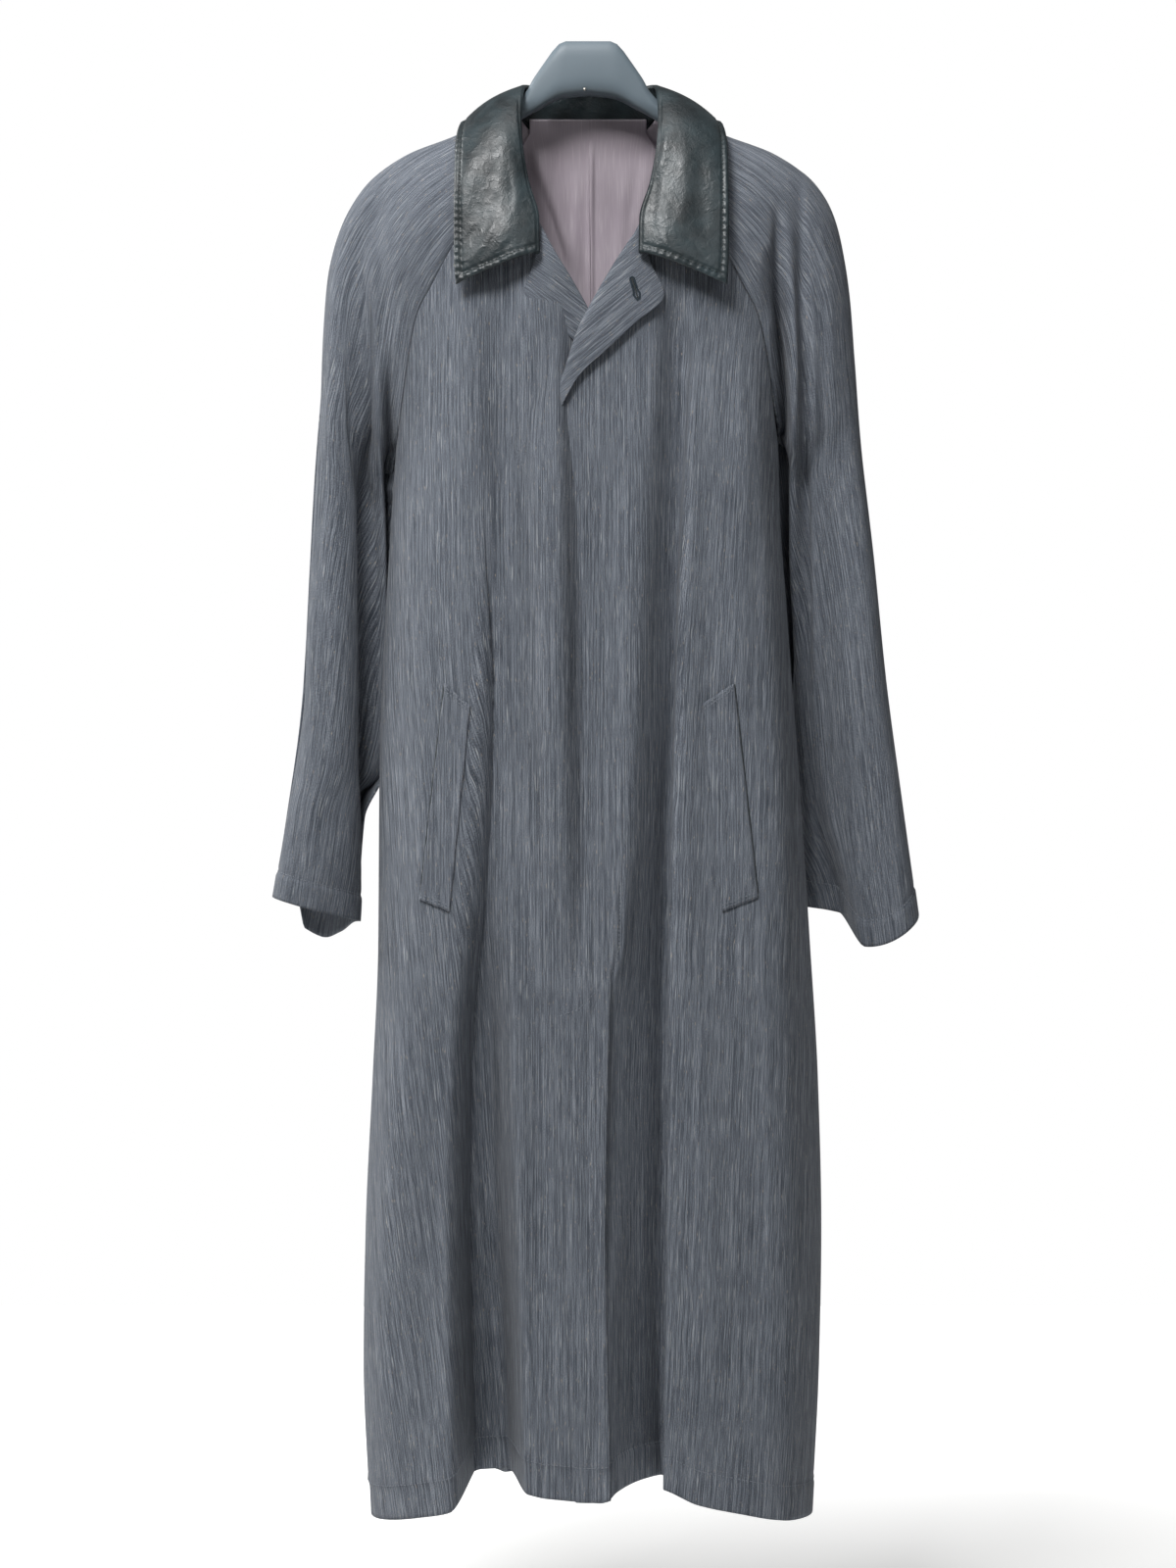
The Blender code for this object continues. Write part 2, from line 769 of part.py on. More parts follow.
def grid_normals(panels, other_panels=None):
    """Outward normals of the panels' points, shared with panels sewn on where both face alike."""
    own = facing_sums(panels)
    others = facing_sums(other_panels or {})
    normals = {}
    for name, grid in panels.items():
        normals[name] = []
        for line in grid:
            facings = []
            for key in map(place_key, line):
                other = others.get(key)
                alike = other is not None and own[key].dot(other) > FACE_ALIKE
                facings.append((own[key] + other).normalized() if alike else own[key])
            normals[name].append(facings)
    return normals


def pulled_in(grid, gap):
    """The grid with its border moved in, so that two panels leave a seam's gap."""
    lines = [[point.copy() for point in line] for line in grid]
    for line in lines:
        line[0] += (line[1] - line[0]).normalized() * gap
        line[-1] += (line[-2] - line[-1]).normalized() * gap
    for index in range(len(lines[0])):
        lines[0][index] += (lines[1][index] - lines[0][index]).normalized() * gap
        lines[-1][index] += (lines[-2][index] - lines[-1][index]).normalized() * gap
    return lines


def wall(name, grid, normals, thickness, kind):
    """A closed wall whose outer face is the grid."""
    outer = pulled_in(grid, SEAM / 2.0)
    shape = bmesh.new()
    layers = []
    for depth in (0.0, thickness):
        layers.append([[shape.verts.new((point - normal * depth) * MM)
                        for point, normal in zip(line, directions)]
                       for line, directions in zip(outer, normals)])
    top, below = layers
    rows = len(grid)
    columns = len(grid[0])
    for row in range(rows - 1):
        for column in range(columns - 1):
            cell = ((row, column), (row + 1, column), (row + 1, column + 1), (row, column + 1))
            shape.faces.new([top[i][j] for i, j in cell])
            shape.faces.new([below[i][j] for i, j in cell[:1] + cell[:0:-1]])
    rim = [(row, 0) for row in range(rows)]
    rim += [(rows - 1, column) for column in range(1, columns)]
    rim += [(row, columns - 1) for row in range(rows - 2, -1, -1)]
    rim += [(0, column) for column in range(columns - 2, 0, -1)]
    for (i, j), (k, m) in zip(rim, rim[1:] + rim[:1]):
        shape.faces.new((top[k][m], top[i][j], below[i][j], below[k][m]))
    finish(name, shape, kind)


def finish(name, shape, kind):
    """Makes the named object and its material from a bmesh."""
    mesh = bpy.data.meshes.new(name)
    shape.to_mesh(mesh)
    shape.free()
    mesh.shade_smooth()
    mesh.set_sharp_from_angle(angle=math.radians(SHARP_ANGLE))
    colour, roughness = COLOURS[kind]
    material = bpy.data.materials.new(name + " " + kind)
    material.use_nodes = True
    surface = material.node_tree.nodes["Principled BSDF"]
    surface.inputs["Base Color"].default_value = (*colour, 1.0)
    surface.inputs["Roughness"].default_value = roughness
    surface.inputs["Metallic"].default_value = 0.0
    mesh.materials.append(material)
    piece = bpy.data.objects.new(name, mesh)
    bpy.context.scene.collection.objects.link(piece)


def hanger_top(sign):
    """Top outline of one half of the hanger: the head, then just under the shoulder seam's points."""
    side = "left" if sign > 0.0 else "right"
    outline = list(HANGER_HEAD)
    for station in sleeve_stations():
        out, drop, y = curve(OUTER_EDGE[side], station)
        outline.append((out, drop + HANGER_SEAT, y))
        if out > HANGER_REACH:
            break
    return outline


def straight(rows, key):
    """The columns of a table at a key, on straight lines between its rows."""
    for start, end in zip(rows, rows[1:]):
        if key <= end[0]:
            share = (key - start[0]) / (end[0] - start[0])
            return [between(start[column], end[column], share) for column in (1, 2)]
    return rows[-1][1:]


def hanger_section(sign, x):
    """A closed loop round the hanger at a distance from its middle."""
    upper, centre = straight(hanger_top(sign), x)
    under, half = curve(HANGER_FORM, x)
    end = smoothstep((HANGER_REACH - x) / HANGER_END + TIP_EASE)
    middle = (upper + under) / 2.0
    height = (under - upper) / 2.0 * between(TIP_HEIGHT, 1.0, end)
    middle = between(upper + height, middle, end)
    half *= between(TIP_HALF, 1.0, end)
    arm = smoothstep((x - ARM_START) / ARM_BLEND)
    loop = []
    for step in range(HANGER_SIDES):
        turn = 2.0 * math.pi * step / HANGER_SIDES
        side = math.copysign(abs(math.sin(turn)) ** between(HANGER_SQUARE, 1.0, arm), math.sin(turn))
        rise = math.copysign(abs(math.cos(turn)) ** between(HANGER_SQUARE, ARM_POINTED, arm), math.cos(turn))
        loop.append(Vector((sign * x, centre + half * side, -(middle - height * rise))))
    return loop


def build_hanger():
    """One moulded bar, lofted along X through its sections."""
    loops = []
    for sign in (-1.0, 1.0):
        stops = set(HANGER_STOPS)
        stops.update(row[0] for row in hanger_top(sign)
                     if HANGER_HEAD[-1][0] < row[0] < HANGER_REACH - HANGER_END)
        stops.update((HANGER_REACH - HANGER_END, HANGER_REACH - HANGER_TIP, HANGER_REACH))
        half = [hanger_section(sign, x) for x in sorted(stops)]
        loops = loops + half[:0:-1] if sign < 0.0 else loops + half
    shape = bmesh.new()
    rings = [[shape.verts.new(point * MM) for point in loop] for loop in loops]
    for first, second in zip(rings, rings[1:]):
        for index in range(HANGER_SIDES):
            after = (index + 1) % HANGER_SIDES
            shape.faces.new((first[index], second[index], second[after], first[after]))
    shape.faces.new(rings[0])
    shape.faces.new(rings[-1][::-1])
    bmesh.ops.recalc_face_normals(shape, faces=shape.faces)
    finish("hanger", shape, "plastic")


def main():
    """Builds every piece of the coat, then the hanger."""
    for item in list(bpy.data.objects):
        bpy.data.objects.remove(item)
    body = {"back": back_grid()}
    sleeves = {}
    for side in ("left", "right"):
        body["front_" + side] = front_grid(side)
        for half in ("front", "back"):
            sleeves["sleeve_" + side + "_" + half] = sleeve_grid(side, half)
    panels = body | sleeves
    normals = grid_normals(body, sleeves) | grid_normals(sleeves, body)
    for name, grid in panels.items():
        wall(name, grid, normals[name], WOOL, "wool")
    collar = {"collar": collar_grid(panels)}
    wall("collar", collar["collar"], grid_normals(collar)["collar"], LEATHER, "leather")
    for side in ("left", "right"):
        lapel = {"lapel": lapel_grid(side)}
        wall("lapel_" + side, lapel["lapel"], grid_normals(lapel)["lapel"], WOOL, "wool")
        welt = {"welt": welt_grid(side)}
        wall("pocket_welt_" + side, welt["welt"], grid_normals(welt)["welt"], WELT_THICK, "wool")
    middle = len(panels["back"][0]) // 2
    for side, span in (("left", slice(0, middle + 1)), ("right", slice(middle, None))):
        directions = [line[span] for line in normals["back"][:LINING_ROWS]]
        inset = [[point - normal * (WOOL + LAY) for point, normal in zip(line[span], facing)]
                 for line, facing in zip(panels["back"], directions)]
        wall("lining_" + side, inset, directions, SATIN, "satin")
    build_hanger()


main()
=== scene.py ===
# %% [markdown]
# A long raglan coat hangs on a moulded hanger. Every cut piece of cloth is a bent sheet, so each one
# starts here as a flat grid whose points are moved onto the shape of the hanging coat.
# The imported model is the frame: its solids give the place of every piece, and each sheet replaces one.

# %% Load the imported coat
import math

import bmesh
import bpy
import numpy as np
from mathutils import Matrix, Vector
from mathutils.bvhtree import BVHTree


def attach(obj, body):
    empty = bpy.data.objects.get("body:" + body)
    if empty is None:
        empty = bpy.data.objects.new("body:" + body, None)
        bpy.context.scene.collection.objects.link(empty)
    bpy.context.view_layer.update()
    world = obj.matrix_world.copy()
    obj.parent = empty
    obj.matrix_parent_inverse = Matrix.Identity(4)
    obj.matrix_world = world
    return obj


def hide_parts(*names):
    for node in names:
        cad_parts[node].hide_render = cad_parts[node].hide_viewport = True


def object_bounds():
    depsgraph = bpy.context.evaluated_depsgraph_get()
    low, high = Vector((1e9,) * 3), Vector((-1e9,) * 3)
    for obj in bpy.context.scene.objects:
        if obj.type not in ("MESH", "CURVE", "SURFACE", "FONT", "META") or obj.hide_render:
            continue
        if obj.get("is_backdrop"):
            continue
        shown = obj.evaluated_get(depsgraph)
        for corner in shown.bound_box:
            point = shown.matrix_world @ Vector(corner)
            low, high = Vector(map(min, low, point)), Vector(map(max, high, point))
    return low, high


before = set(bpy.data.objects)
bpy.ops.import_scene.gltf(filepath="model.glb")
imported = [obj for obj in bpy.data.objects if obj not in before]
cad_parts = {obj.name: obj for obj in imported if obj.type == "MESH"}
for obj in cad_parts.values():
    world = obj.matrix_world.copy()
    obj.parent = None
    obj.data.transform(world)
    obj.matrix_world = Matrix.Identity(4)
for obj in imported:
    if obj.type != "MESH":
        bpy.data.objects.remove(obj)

MM = 0.001
cad_box = [list(corner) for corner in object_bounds()]
print("Packed coat:", len(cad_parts), "nodes")

# %% [markdown]
# The camera stands straight in front, level with the middle of the picture. A longer lens from far away
# would flatten the coat more. This distance lets the sleeves and the hem show a little of their depth.

# %% Camera
IMAGE_HEIGHT = 1.408
CAMERA_DISTANCE = 2.8
CAMERA_DROP = 0.666
SENSOR = 36.0
camera = bpy.data.objects.new("camera", bpy.data.cameras.new("camera"))
camera.data.sensor_width = SENSOR
camera.data.lens = SENSOR * CAMERA_DISTANCE / IMAGE_HEIGHT
camera.location = (0.0, -CAMERA_DISTANCE, -CAMERA_DROP)
camera.rotation_euler = (math.radians(90.0), 0.0, 0.0)
bpy.context.scene.collection.objects.link(camera)
bpy.context.scene.camera = camera
print("Lens:", round(camera.data.lens, 1), "mm")

# %% [markdown]
# Light and finishes are built from nodes. One function adds a node, sets it and links it, and another turns
# the hex colours of a paint chart into the linear ones that the renderer mixes. Nothing real has one flat
# colour, so the plainer finishes start as two near colours mixed by a noise.

# %% Node tools
MIX_A, MIX_B = 6, 7
COLOUR_MIX = {"output": 2, "data_type": "RGBA"}


def linear(hex_colour):
    """An sRGB hex colour as linear RGBA."""
    parts = [int(hex_colour[start:start + 2], 16) / 255.0 for start in (1, 3, 5)]
    return tuple(part / 12.92 if part <= 0.04045 else ((part + 0.055) / 1.055) ** 2.4
                 for part in parts) + (1.0,)


def add(tree, kind, sockets, output=0, **settings):
    """Adds a node with its settings, socket values and links, and returns one of its outputs."""
    node = tree.nodes.new("ShaderNode" + kind)
    for name, value in settings.items():
        setattr(node, name, value)
    for name, value in sockets.items():
        if isinstance(value, bpy.types.NodeSocket):
            tree.links.new(value, node.inputs[name])
        else:
            node.inputs[name].default_value = value
    return node.outputs[output]


def new_material(name, **sockets):
    """A material whose surface has these values; returns the material, its tree and its surface."""
    material = bpy.data.materials.new(name)
    material.use_nodes = True
    surface = material.node_tree.nodes["Principled BSDF"]
    for socket, value in sockets.items():
        surface.inputs[socket.replace("_", " ")].default_value = value
    return material, material.node_tree, surface


def clouded(name, dark, light, size, detail=1.0, **sockets):
    """A new material with two colours in clouds of a size in millimetres; also returns its coordinates."""
    material, tree, surface = new_material(name, **sockets)
    place = add(tree, "TexCoord", {}, "Object")
    clouds = add(tree, "TexNoise", {"Vector": place, "Scale": 1.0 / (size * MM), "Detail": detail})
    colour = add(tree, "Mix", {0: clouds, MIX_A: linear(dark), MIX_B: linear(light)}, **COLOUR_MIX)
    tree.links.new(colour, surface.inputs["Base Color"])
    return material, tree, surface, place


print("Middle grey #808080 is", round(linear("#808080")[0], 3), "in linear light")

# %% [markdown]
# A studio lights cloth with large soft lamps, so that folds shade slowly. The strongest here stands high in
# front, a little to the picture's left. The others are a key lamp on the left, a weak one on the right, one
# behind the left side and one overhead. The world looks white behind the coat and is mirrored softly in
# leather and plastic, but lights the cloth only weakly: strong light from all sides would wash the folds out.

# %% Light
# name, place, size, watts
LAMPS = (
    ("key", (-2.3, -1.5, 1.6), 0.8, 20.0),
    ("upper", (-0.7, -1.7, 1.4), 0.8, 64.0),
    ("fill", (1.3, -2.4, 0.9), 1.0, 8.0),
    ("rim", (-2.4, 0.6, 0.9), 1.0, 56.0),
    ("top", (0.0, -0.6, 1.5), 1.2, 12.0),
)
AMBIENT = 0.02
MIRRORED = 0.2
aim = camera.location.copy()
aim.y = 0.0
for name, place, size, watts in LAMPS:
    lamp = bpy.data.objects.new(name, bpy.data.lights.new(name, "AREA"))
    lamp.data.size = size
    lamp.data.energy = watts
    lamp.location = place
    lamp.rotation_euler = (aim - lamp.location).to_track_quat("-Z", "Y").to_euler()
    bpy.context.scene.collection.objects.link(lamp)
world = bpy.data.worlds.new("studio")
world.use_nodes = True
sky = world.node_tree
strength = AMBIENT
for ray, brightness in (("Is Glossy Ray", MIRRORED), ("Is Camera Ray", 1.0)):
    chosen = add(sky, "LightPath", {}, ray)
    strength = add(sky, "Mix", {"Factor": chosen, "A": strength, "B": brightness}, "Result")
background = sky.nodes["Background"].inputs
background["Color"].default_value = linear("#FFFFFF")
sky.links.new(strength, background["Strength"])
bpy.context.scene.world = world
bpy.context.scene.view_settings.view_transform = "Standard"
print("Lamps:", len(LAMPS))

# %% [markdown]
# The floor is pale and painted. Behind the coat a light of its own keeps it as white as the paper behind a
# studio picture. It glows far less in front, because light from below would fill the folds at the hem.

# %% Floor
FLOOR_DROP = 1.47
FLOOR_HALF = 2.0
FLOOR_GLOW = 0.86
GLOW_FROM, GLOW_TO = 0.2, 1.0
BRUSHWORK = 1000.0 / 3.0


def baked(name, shape):
    """A finished bmesh as a mesh."""
    mesh = bpy.data.meshes.new(name)
    shape.to_mesh(mesh)
    shape.free()
    return mesh


paint, tree, surface, place = clouded("painted studio floor", "#F2F2F0", "#F6F6F5", BRUSHWORK, detail=2.0,
                                      Roughness=0.9, Emission_Strength=FLOOR_GLOW)
depth = add(tree, "SeparateXYZ", {"Vector": place}, "Y")
behind = add(tree, "MapRange", {"Value": depth, "From Min": GLOW_FROM, "From Max": GLOW_TO})
glow = add(tree, "Mix", {0: behind, MIX_A: linear("#606060"), MIX_B: linear("#FFFFFF")}, **COLOUR_MIX)
tree.links.new(glow, surface.inputs["Emission Color"])
shape = bmesh.new()
bmesh.ops.create_grid(shape, x_segments=1, y_segments=1, size=FLOOR_HALF)
bmesh.ops.translate(shape, verts=shape.verts, vec=(0.0, 0.0, -FLOOR_DROP))
floor = bpy.data.objects.new("floor", baked("floor", shape))
floor.data.materials.append(paint)
bpy.context.scene.collection.objects.link(floor)
floor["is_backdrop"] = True
print("Floor", FLOOR_DROP, "m below the hanger's top")

# %% [markdown]
# The coat's cloth is a plain weave of wool with slubby silk: uneven yarns whose thick places show as short
# pale dashes along the grain. Long thin noise along each sheet's own grain gives the yarns, and a second
# noise, cut off high, gives the slubs. The eye sees soft grey-blue streaks with a matt, dry surface.
# Yarns finer than half a millimetre are usual in such cloth and would not show, so these are drawn coarser.

# %% Slubby wool and silk
# width and length of one cell of each noise, in millimetres
YARN = (0.7, 120.0)
FINE_YARN = (0.55, 22.0)
BAND = (3.0, 500.0)
WEFT = (0.8, 0.55)
SLUB = (0.7, 30.0)
FLECK = (0.8, 6.0)
SLUB_SEED, FLECK_SEED = 37.3, 51.1
# noise, seed, share of the tone
TONES = ((YARN, 3.1, 0.34), (FINE_YARN, 11.7, 0.28), (BAND, 23.9, 0.04), (WEFT, 67.7, 0.34))
WOOL_DARK, WOOL_MID, WOOL_LIGHT = "#343A42", "#585D66", "#8D939B"
SLUB_PALE, SLUB_WARM = "#9FA2A4", "#9B8F81"


def woven(tree, grain, size, seed):
    """Noise whose cells measure size millimetres across and along the grain."""
    stretched = add(tree, "Mapping", {"Vector": grain, "Location": (seed, 2.0 * seed, 0.0),
                                      "Scale": (1.0 / (size[0] * MM), 1.0 / (size[1] * MM), 1.0)})
    return add(tree, "TexNoise", {"Vector": stretched, "Scale": 1.0, "Detail": 1.0}, noise_dimensions="2D")


wool, tree, surface = new_material("slubby wool and silk weave", Roughness=0.85, Specular_IOR_Level=0.2,
                                   Sheen_Weight=0.06, Sheen_Roughness=0.6)
grain = add(tree, "UVMap", {}, uv_map="Grain")
tone = 0.0
for size, seed, share in TONES:
    noise = woven(tree, grain, size, seed)
    noise = add(tree, "MapRange", {"Value": noise, "From Min": 0.27, "From Max": 0.73})
    tone = add(tree, "Math", {0: noise, 1: share, 2: tone}, operation="MULTIPLY_ADD")
slub = woven(tree, grain, SLUB, SLUB_SEED)
slub = add(tree, "MapRange", {"Value": slub, "From Min": 0.72, "From Max": 0.80})
fleck = woven(tree, grain, FLECK, FLECK_SEED)
fleck = add(tree, "MapRange", {"Value": fleck, "From Min": 0.74, "From Max": 0.84})
dark = add(tree, "MapRange", {"Value": tone, "From Min": 0.20, "From Max": 0.52})
light = add(tree, "MapRange", {"Value": tone, "From Min": 0.50, "From Max": 0.86})
colour = linear(WOOL_DARK)
for shown, dye in ((dark, WOOL_MID), (light, WOOL_LIGHT), (slub, SLUB_PALE), (fleck, SLUB_WARM)):
    colour = add(tree, "Mix", {0: shown, MIX_A: colour, MIX_B: linear(dye)}, **COLOUR_MIX)
tree.links.new(colour, surface.inputs["Base Color"])
relief = add(tree, "Math", {0: slub, 1: 0.5, 2: tone}, operation="MULTIPLY_ADD")
bump = add(tree, "Bump", {"Height": relief, "Distance": 0.6 * MM, "Strength": 0.45})
tree.links.new(bump, surface.inputs["Normal"])
print("Wool yarns", YARN[0], "mm wide")

# %% [markdown]
# The collar is soft nappa leather: a dyed skin with a fine grain of cells and shallow crinkles. The eye sees
# dark green-black with pale soft lights where it bends. Voronoi cells give the grain, one noise the crinkles
# and their change of gloss, and a slower one the rubbed places, which are paler.

# %% Nappa leather
LEATHER_GRAIN = 1.5
CRINKLE = 7.0
RUBBED = 24.0
ROUGHEST, SMOOTHEST = 0.52, 0.34
leather, tree, surface = new_material("dyed nappa leather", Specular_IOR_Level=0.45, Coat_Weight=0.06,
                                      Coat_Roughness=0.35)
place = add(tree, "TexCoord", {}, "Object")
cells = add(tree, "TexVoronoi", {"Vector": place, "Scale": 1.0 / (LEATHER_GRAIN * MM)}, "Distance")
crinkle = add(tree, "TexNoise", {"Vector": place, "Scale": 1.0 / (CRINKLE * MM), "Detail": 4.0,
                                 "Distortion": 0.6})
rubbed = add(tree, "TexNoise", {"Vector": place, "Scale": 1.0 / (RUBBED * MM), "Detail": 3.0})
worn = add(tree, "MapRange", {"Value": rubbed, "From Min": 0.35, "From Max": 0.7})
colour = add(tree, "Mix", {0: worn, MIX_A: linear("#141C1F"), MIX_B: linear("#2A363A")}, **COLOUR_MIX)
tree.links.new(colour, surface.inputs["Base Color"])
gloss = add(tree, "MapRange", {"Value": crinkle, "From Min": 0.3, "From Max": 0.7,
                               "To Min": ROUGHEST, "To Max": SMOOTHEST})
tree.links.new(gloss, surface.inputs["Roughness"])
height = add(tree, "Math", {0: cells, 1: 0.14, 2: crinkle}, operation="MULTIPLY_ADD")
bump = add(tree, "Bump", {"Height": height, "Distance": 1.3 * MM, "Strength": 0.6})
tree.links.new(bump, surface.inputs["Normal"])
print("Leather grain", LEATHER_GRAIN, "mm")

# %% [markdown]
# The lining is a mauve-grey satin. Its long floats lie along the grain, and their soft sheen is painted
# sheen:
# faint pale streaks mixed into the colour. A slow noise gives the slight clouds of worn lining.

# %% Satin lining
FLOAT = (0.9, 30.0)
FLOAT_SEED = 5.3
CLOUD = 45.0
satin, tree, surface = new_material("rayon satin lining", Roughness=0.45, Specular_IOR_Level=0.4,
                                    Sheen_Weight=0.15, Sheen_Roughness=0.4)
grain = add(tree, "UVMap", {}, uv_map="Grain")
place = add(tree, "TexCoord", {}, "Object")
cloud = add(tree, "TexNoise", {"Vector": place, "Scale": 1.0 / (CLOUD * MM), "Detail": 2.0})
floats = woven(tree, grain, FLOAT, FLOAT_SEED)
colour = add(tree, "Mix", {0: cloud, MIX_A: linear("#9F939E"), MIX_B: linear("#B6ACB4")}, **COLOUR_MIX)
# painted sheen: a paler colour along the floats stands in for the light that satin reflects
painted_sheen = add(tree, "MapRange", {"Value": floats, "From Min": 0.55, "From Max": 0.9})
colour = add(tree, "Mix", {0: painted_sheen, MIX_A: colour, MIX_B: linear("#C1B8BE")}, **COLOUR_MIX)
tree.links.new(colour, surface.inputs["Base Color"])
bump = add(tree, "Bump", {"Height": floats, "Distance": 0.2 * MM, "Strength": 0.4})
tree.links.new(bump, surface.inputs["Normal"])
print("Satin floats", FLOAT[1], "mm long")

# %% [markdown]
# The hanger is injection-moulded plastic with a fine spark-eroded skin: matt, with broad soft highlights.
# The sewing threads are plain spun polyester, paler than the cloth, near-black for the leather and navy for
# the buttonhole. Short fibres give them fine flecks.

# %% Moulded plastic and threads
SPARK_GRAIN = 0.7
FLOW = 60.0
FIBRE = 1.0
plastic, tree, surface, place = clouded("moulded polypropylene", "#57636B", "#6A767E", FLOW,
                                        Roughness=0.46, Specular_IOR_Level=0.4)
sparks = add(tree, "TexNoise", {"Vector": place, "Scale": 1.0 / (SPARK_GRAIN * MM), "Detail": 1.0})
bump = add(tree, "Bump", {"Height": sparks, "Distance": 0.1 * MM, "Strength": 0.3})
tree.links.new(bump, surface.inputs["Normal"])
threads = {}
# the near-black leather thread also draws painted shade, in the pocket mouths and the buttonhole's slit
for name, dark, light in (("wool", "#5A6069", "#878D95"), ("leather", "#181D1E", "#2C3434"),
                          ("buttonhole", "#0A161F", "#1E3542")):
    threads[name] = clouded("spun polyester thread for " + name, dark, light, FIBRE, Roughness=0.65)[0]
print("Materials:", len(bpy.data.materials))

# %% [markdown]
# The coat's form is kept in short tables of real sizes in millimetres: a row for each level, as a tailor
# notes widths down a garment. Drop is the distance below the hanger's flat top, +X the wearer's left and
# +Y the wearer's back. A smooth curve through a table's rows gives every size in between, for whole
# arrays of points at once, which is far quicker than one point after another.

# %% Reading a table
def smoothstep(value):
    """Ease from 0 to 1."""
    value = np.clip(value, 0.0, 1.0)
    return value * value * (3.0 - 2.0 * value)


def between(start, end, share):
    """A value part of the way from start to end."""
    return start + (end - start) * share


def curve(rows, key):
    """The columns of a table at each key, on curves through its rows that never overshoot."""
    table = np.array(rows, float)
    keys, values = table[:, 0], table[:, 1:]
    spans = np.diff(keys)[:, None]
    rises = np.diff(values, axis=0) / spans
    product = rises[:-1] * rises[1:]
    total = np.where(product > 0.0, rises[:-1] + rises[1:], 1.0)
    slopes = np.vstack([rises[:1], np.where(product > 0.0, 2.0 * product / total, 0.0), rises[-1:]])
    key = np.clip(np.asarray(key, float), keys[0], keys[-1])
    index = np.clip(np.searchsorted(keys, key, side="right") - 1, 0, len(keys) - 2)
    span = spans[index]
    share = (key - keys[index])[..., None] / span
    rest = 1.0 - share
    found = between(values[index], values[index + 1], smoothstep(share))
    found += span * share * rest * (slopes[index] * rest - slopes[index + 1] * share)
    return np.moveaxis(found, -1, 0)


print("Between 0 and 10, a quarter of the way:", round(float(curve(((0, 0), (2, 10), (4, 10)), 0.5)[0]), 2))

# %% [markdown]
# Round the body the cloth is a ring that is flatter than an ellipse. Its largest folds hang from the chest
# and deepen to the hem: each is a groove with a flat floor and two soft sides. The sheets nearly keep the
# outline of their solids, but folds and valleys are deeper and sharper here, by up to three centimetres.

# %% Body rings and folds
ARMPIT = 400.0
HEM = 1290.0
SIDE_SEAM = 100.0
ROUNDNESS = 0.8
TUCK_TURN = 0.57
FOLD_LEAN = 0.3
# drop, right edge, left edge, front depth, back depth, tuck behind the sleeves
BODY = (
    (60, 205, 205, 22, 34, 0.00),
    (107, 200, 200, 39, 42, 0.00),
    (150, 190, 190, 52, 49, 0.00),
    (200, 180, 180, 61, 53, 0.00),
    (250, 175, 175, 65, 56, 0.00),
    (300, 172.5, 172.5, 67, 57, 0.00),
    (350, 172, 171, 69, 58, 0.00),
    (420, 176, 172, 72, 58, 0.03),
    (520, 182, 178, 78, 60, 0.08),
    (660, 187, 189, 87, 63, 0.09),
    (810, 188, 199, 97, 67, 0.08),
    (930, 193, 206, 104, 71, 0.04),
    (1060, 199, 209, 111, 76, 0.00),
    (1180, 201, 207, 116, 81, 0.00),
    (1320, 195, 200, 119, 86, 0.00),
)
# drop, left side, floor from, floor to, right side, depth
FOLD_RIGHT = (
    (430, -102, -90, -86, -72, 0),
    (520, -102, -90, -86, -70, 6),
    (640, -103, -92, -86, -67, 18),
    (760, -112, -96, -88, -65, 31),
    (900, -122, -102, -90, -61, 48),
    (1050, -124, -104, -84, -57, 66),
    (1180, -122, -102, -76, -54, 82),
    (1320, -119, -100, -71, -52, 98),
)
FOLD_LEFT = (
    (210, 58, 75, 80, 93, 0),
    (310, 55, 75, 80, 92, 14),
    (420, 50, 71, 75, 88, 22),
    (560, 42, 65, 69, 82, 31),
    (700, 32, 58, 62, 76, 38),
    (860, 21, 52, 56, 71, 45),
    (1050, 17, 49, 53, 69, 53),
    (1180, 19, 47, 51, 67, 57),
    (1320, 22, 46, 51, 65, 64),
)
BACK_FOLD_RIGHT = (
    (560, -96, -72, -66, -44, 0),
    (860, -98, -72, -62, -38, 16),
    (1320, -104, -76, -58, -30, 40),
)
BACK_FOLD_LEFT = (
    (500, 30, 54, 60, 84, 0),
    (860, 26, 56, 66, 96, 20),
    (1320, 22, 58, 76, 108, 46),
)


def fold(rows, x, drop):
    """Depth of one fold at each place."""
    left, floor_left, floor_right, right, depth = curve(rows, drop)
    rise = np.clip((x - left) / (floor_left - left), 0.0, 1.0) ** 2
    fall = smoothstep((right - x) / (right - floor_right))
    return depth * np.minimum(rise, fall)


def ring(angle, drop):
    """Points of the body's outer face; angle 0 is the centre front, 90 the wearer's left edge."""
    right, left, front, back, tuck = curve(BODY, drop)
    sine, cosine = np.sin(np.radians(angle)), np.cos(np.radians(angle))
    x = np.where(sine > 0.0, left, right) * np.sign(sine) * np.abs(sine) ** ROUNDNESS
    ahead = -front * np.abs(cosine) ** ROUNDNESS
    ahead = ahead + sum(fold(rows, x, drop) for rows in (FOLD_RIGHT, FOLD_LEFT))
    x = x + FOLD_LEAN * fold(FOLD_LEFT, x, drop) * (cosine > 0.0)
    behind = back * np.abs(cosine) ** ROUNDNESS
    behind = behind - sum(fold(rows, x, drop) for rows in (BACK_FOLD_RIGHT, BACK_FOLD_LEFT))
    pinch = np.where(cosine < 0.0, 1.0 - tuck * smoothstep(-cosine / TUCK_TURN), 1.0)
    return np.stack([x * pinch, np.where(cosine >= 0.0, ahead, behind), -drop * np.ones_like(x)], -1)


def angle_at(x, drop):
    """Angle of the front face's point at each x."""
    right, left = curve(BODY, drop)[:2]
    half = np.where(np.asarray(x) > 0.0, left, right)
    share = np.minimum(np.abs(x) / half, 1.0) ** (1.0 / ROUNDNESS)
    return np.sign(x) * np.degrees(np.arcsin(share))


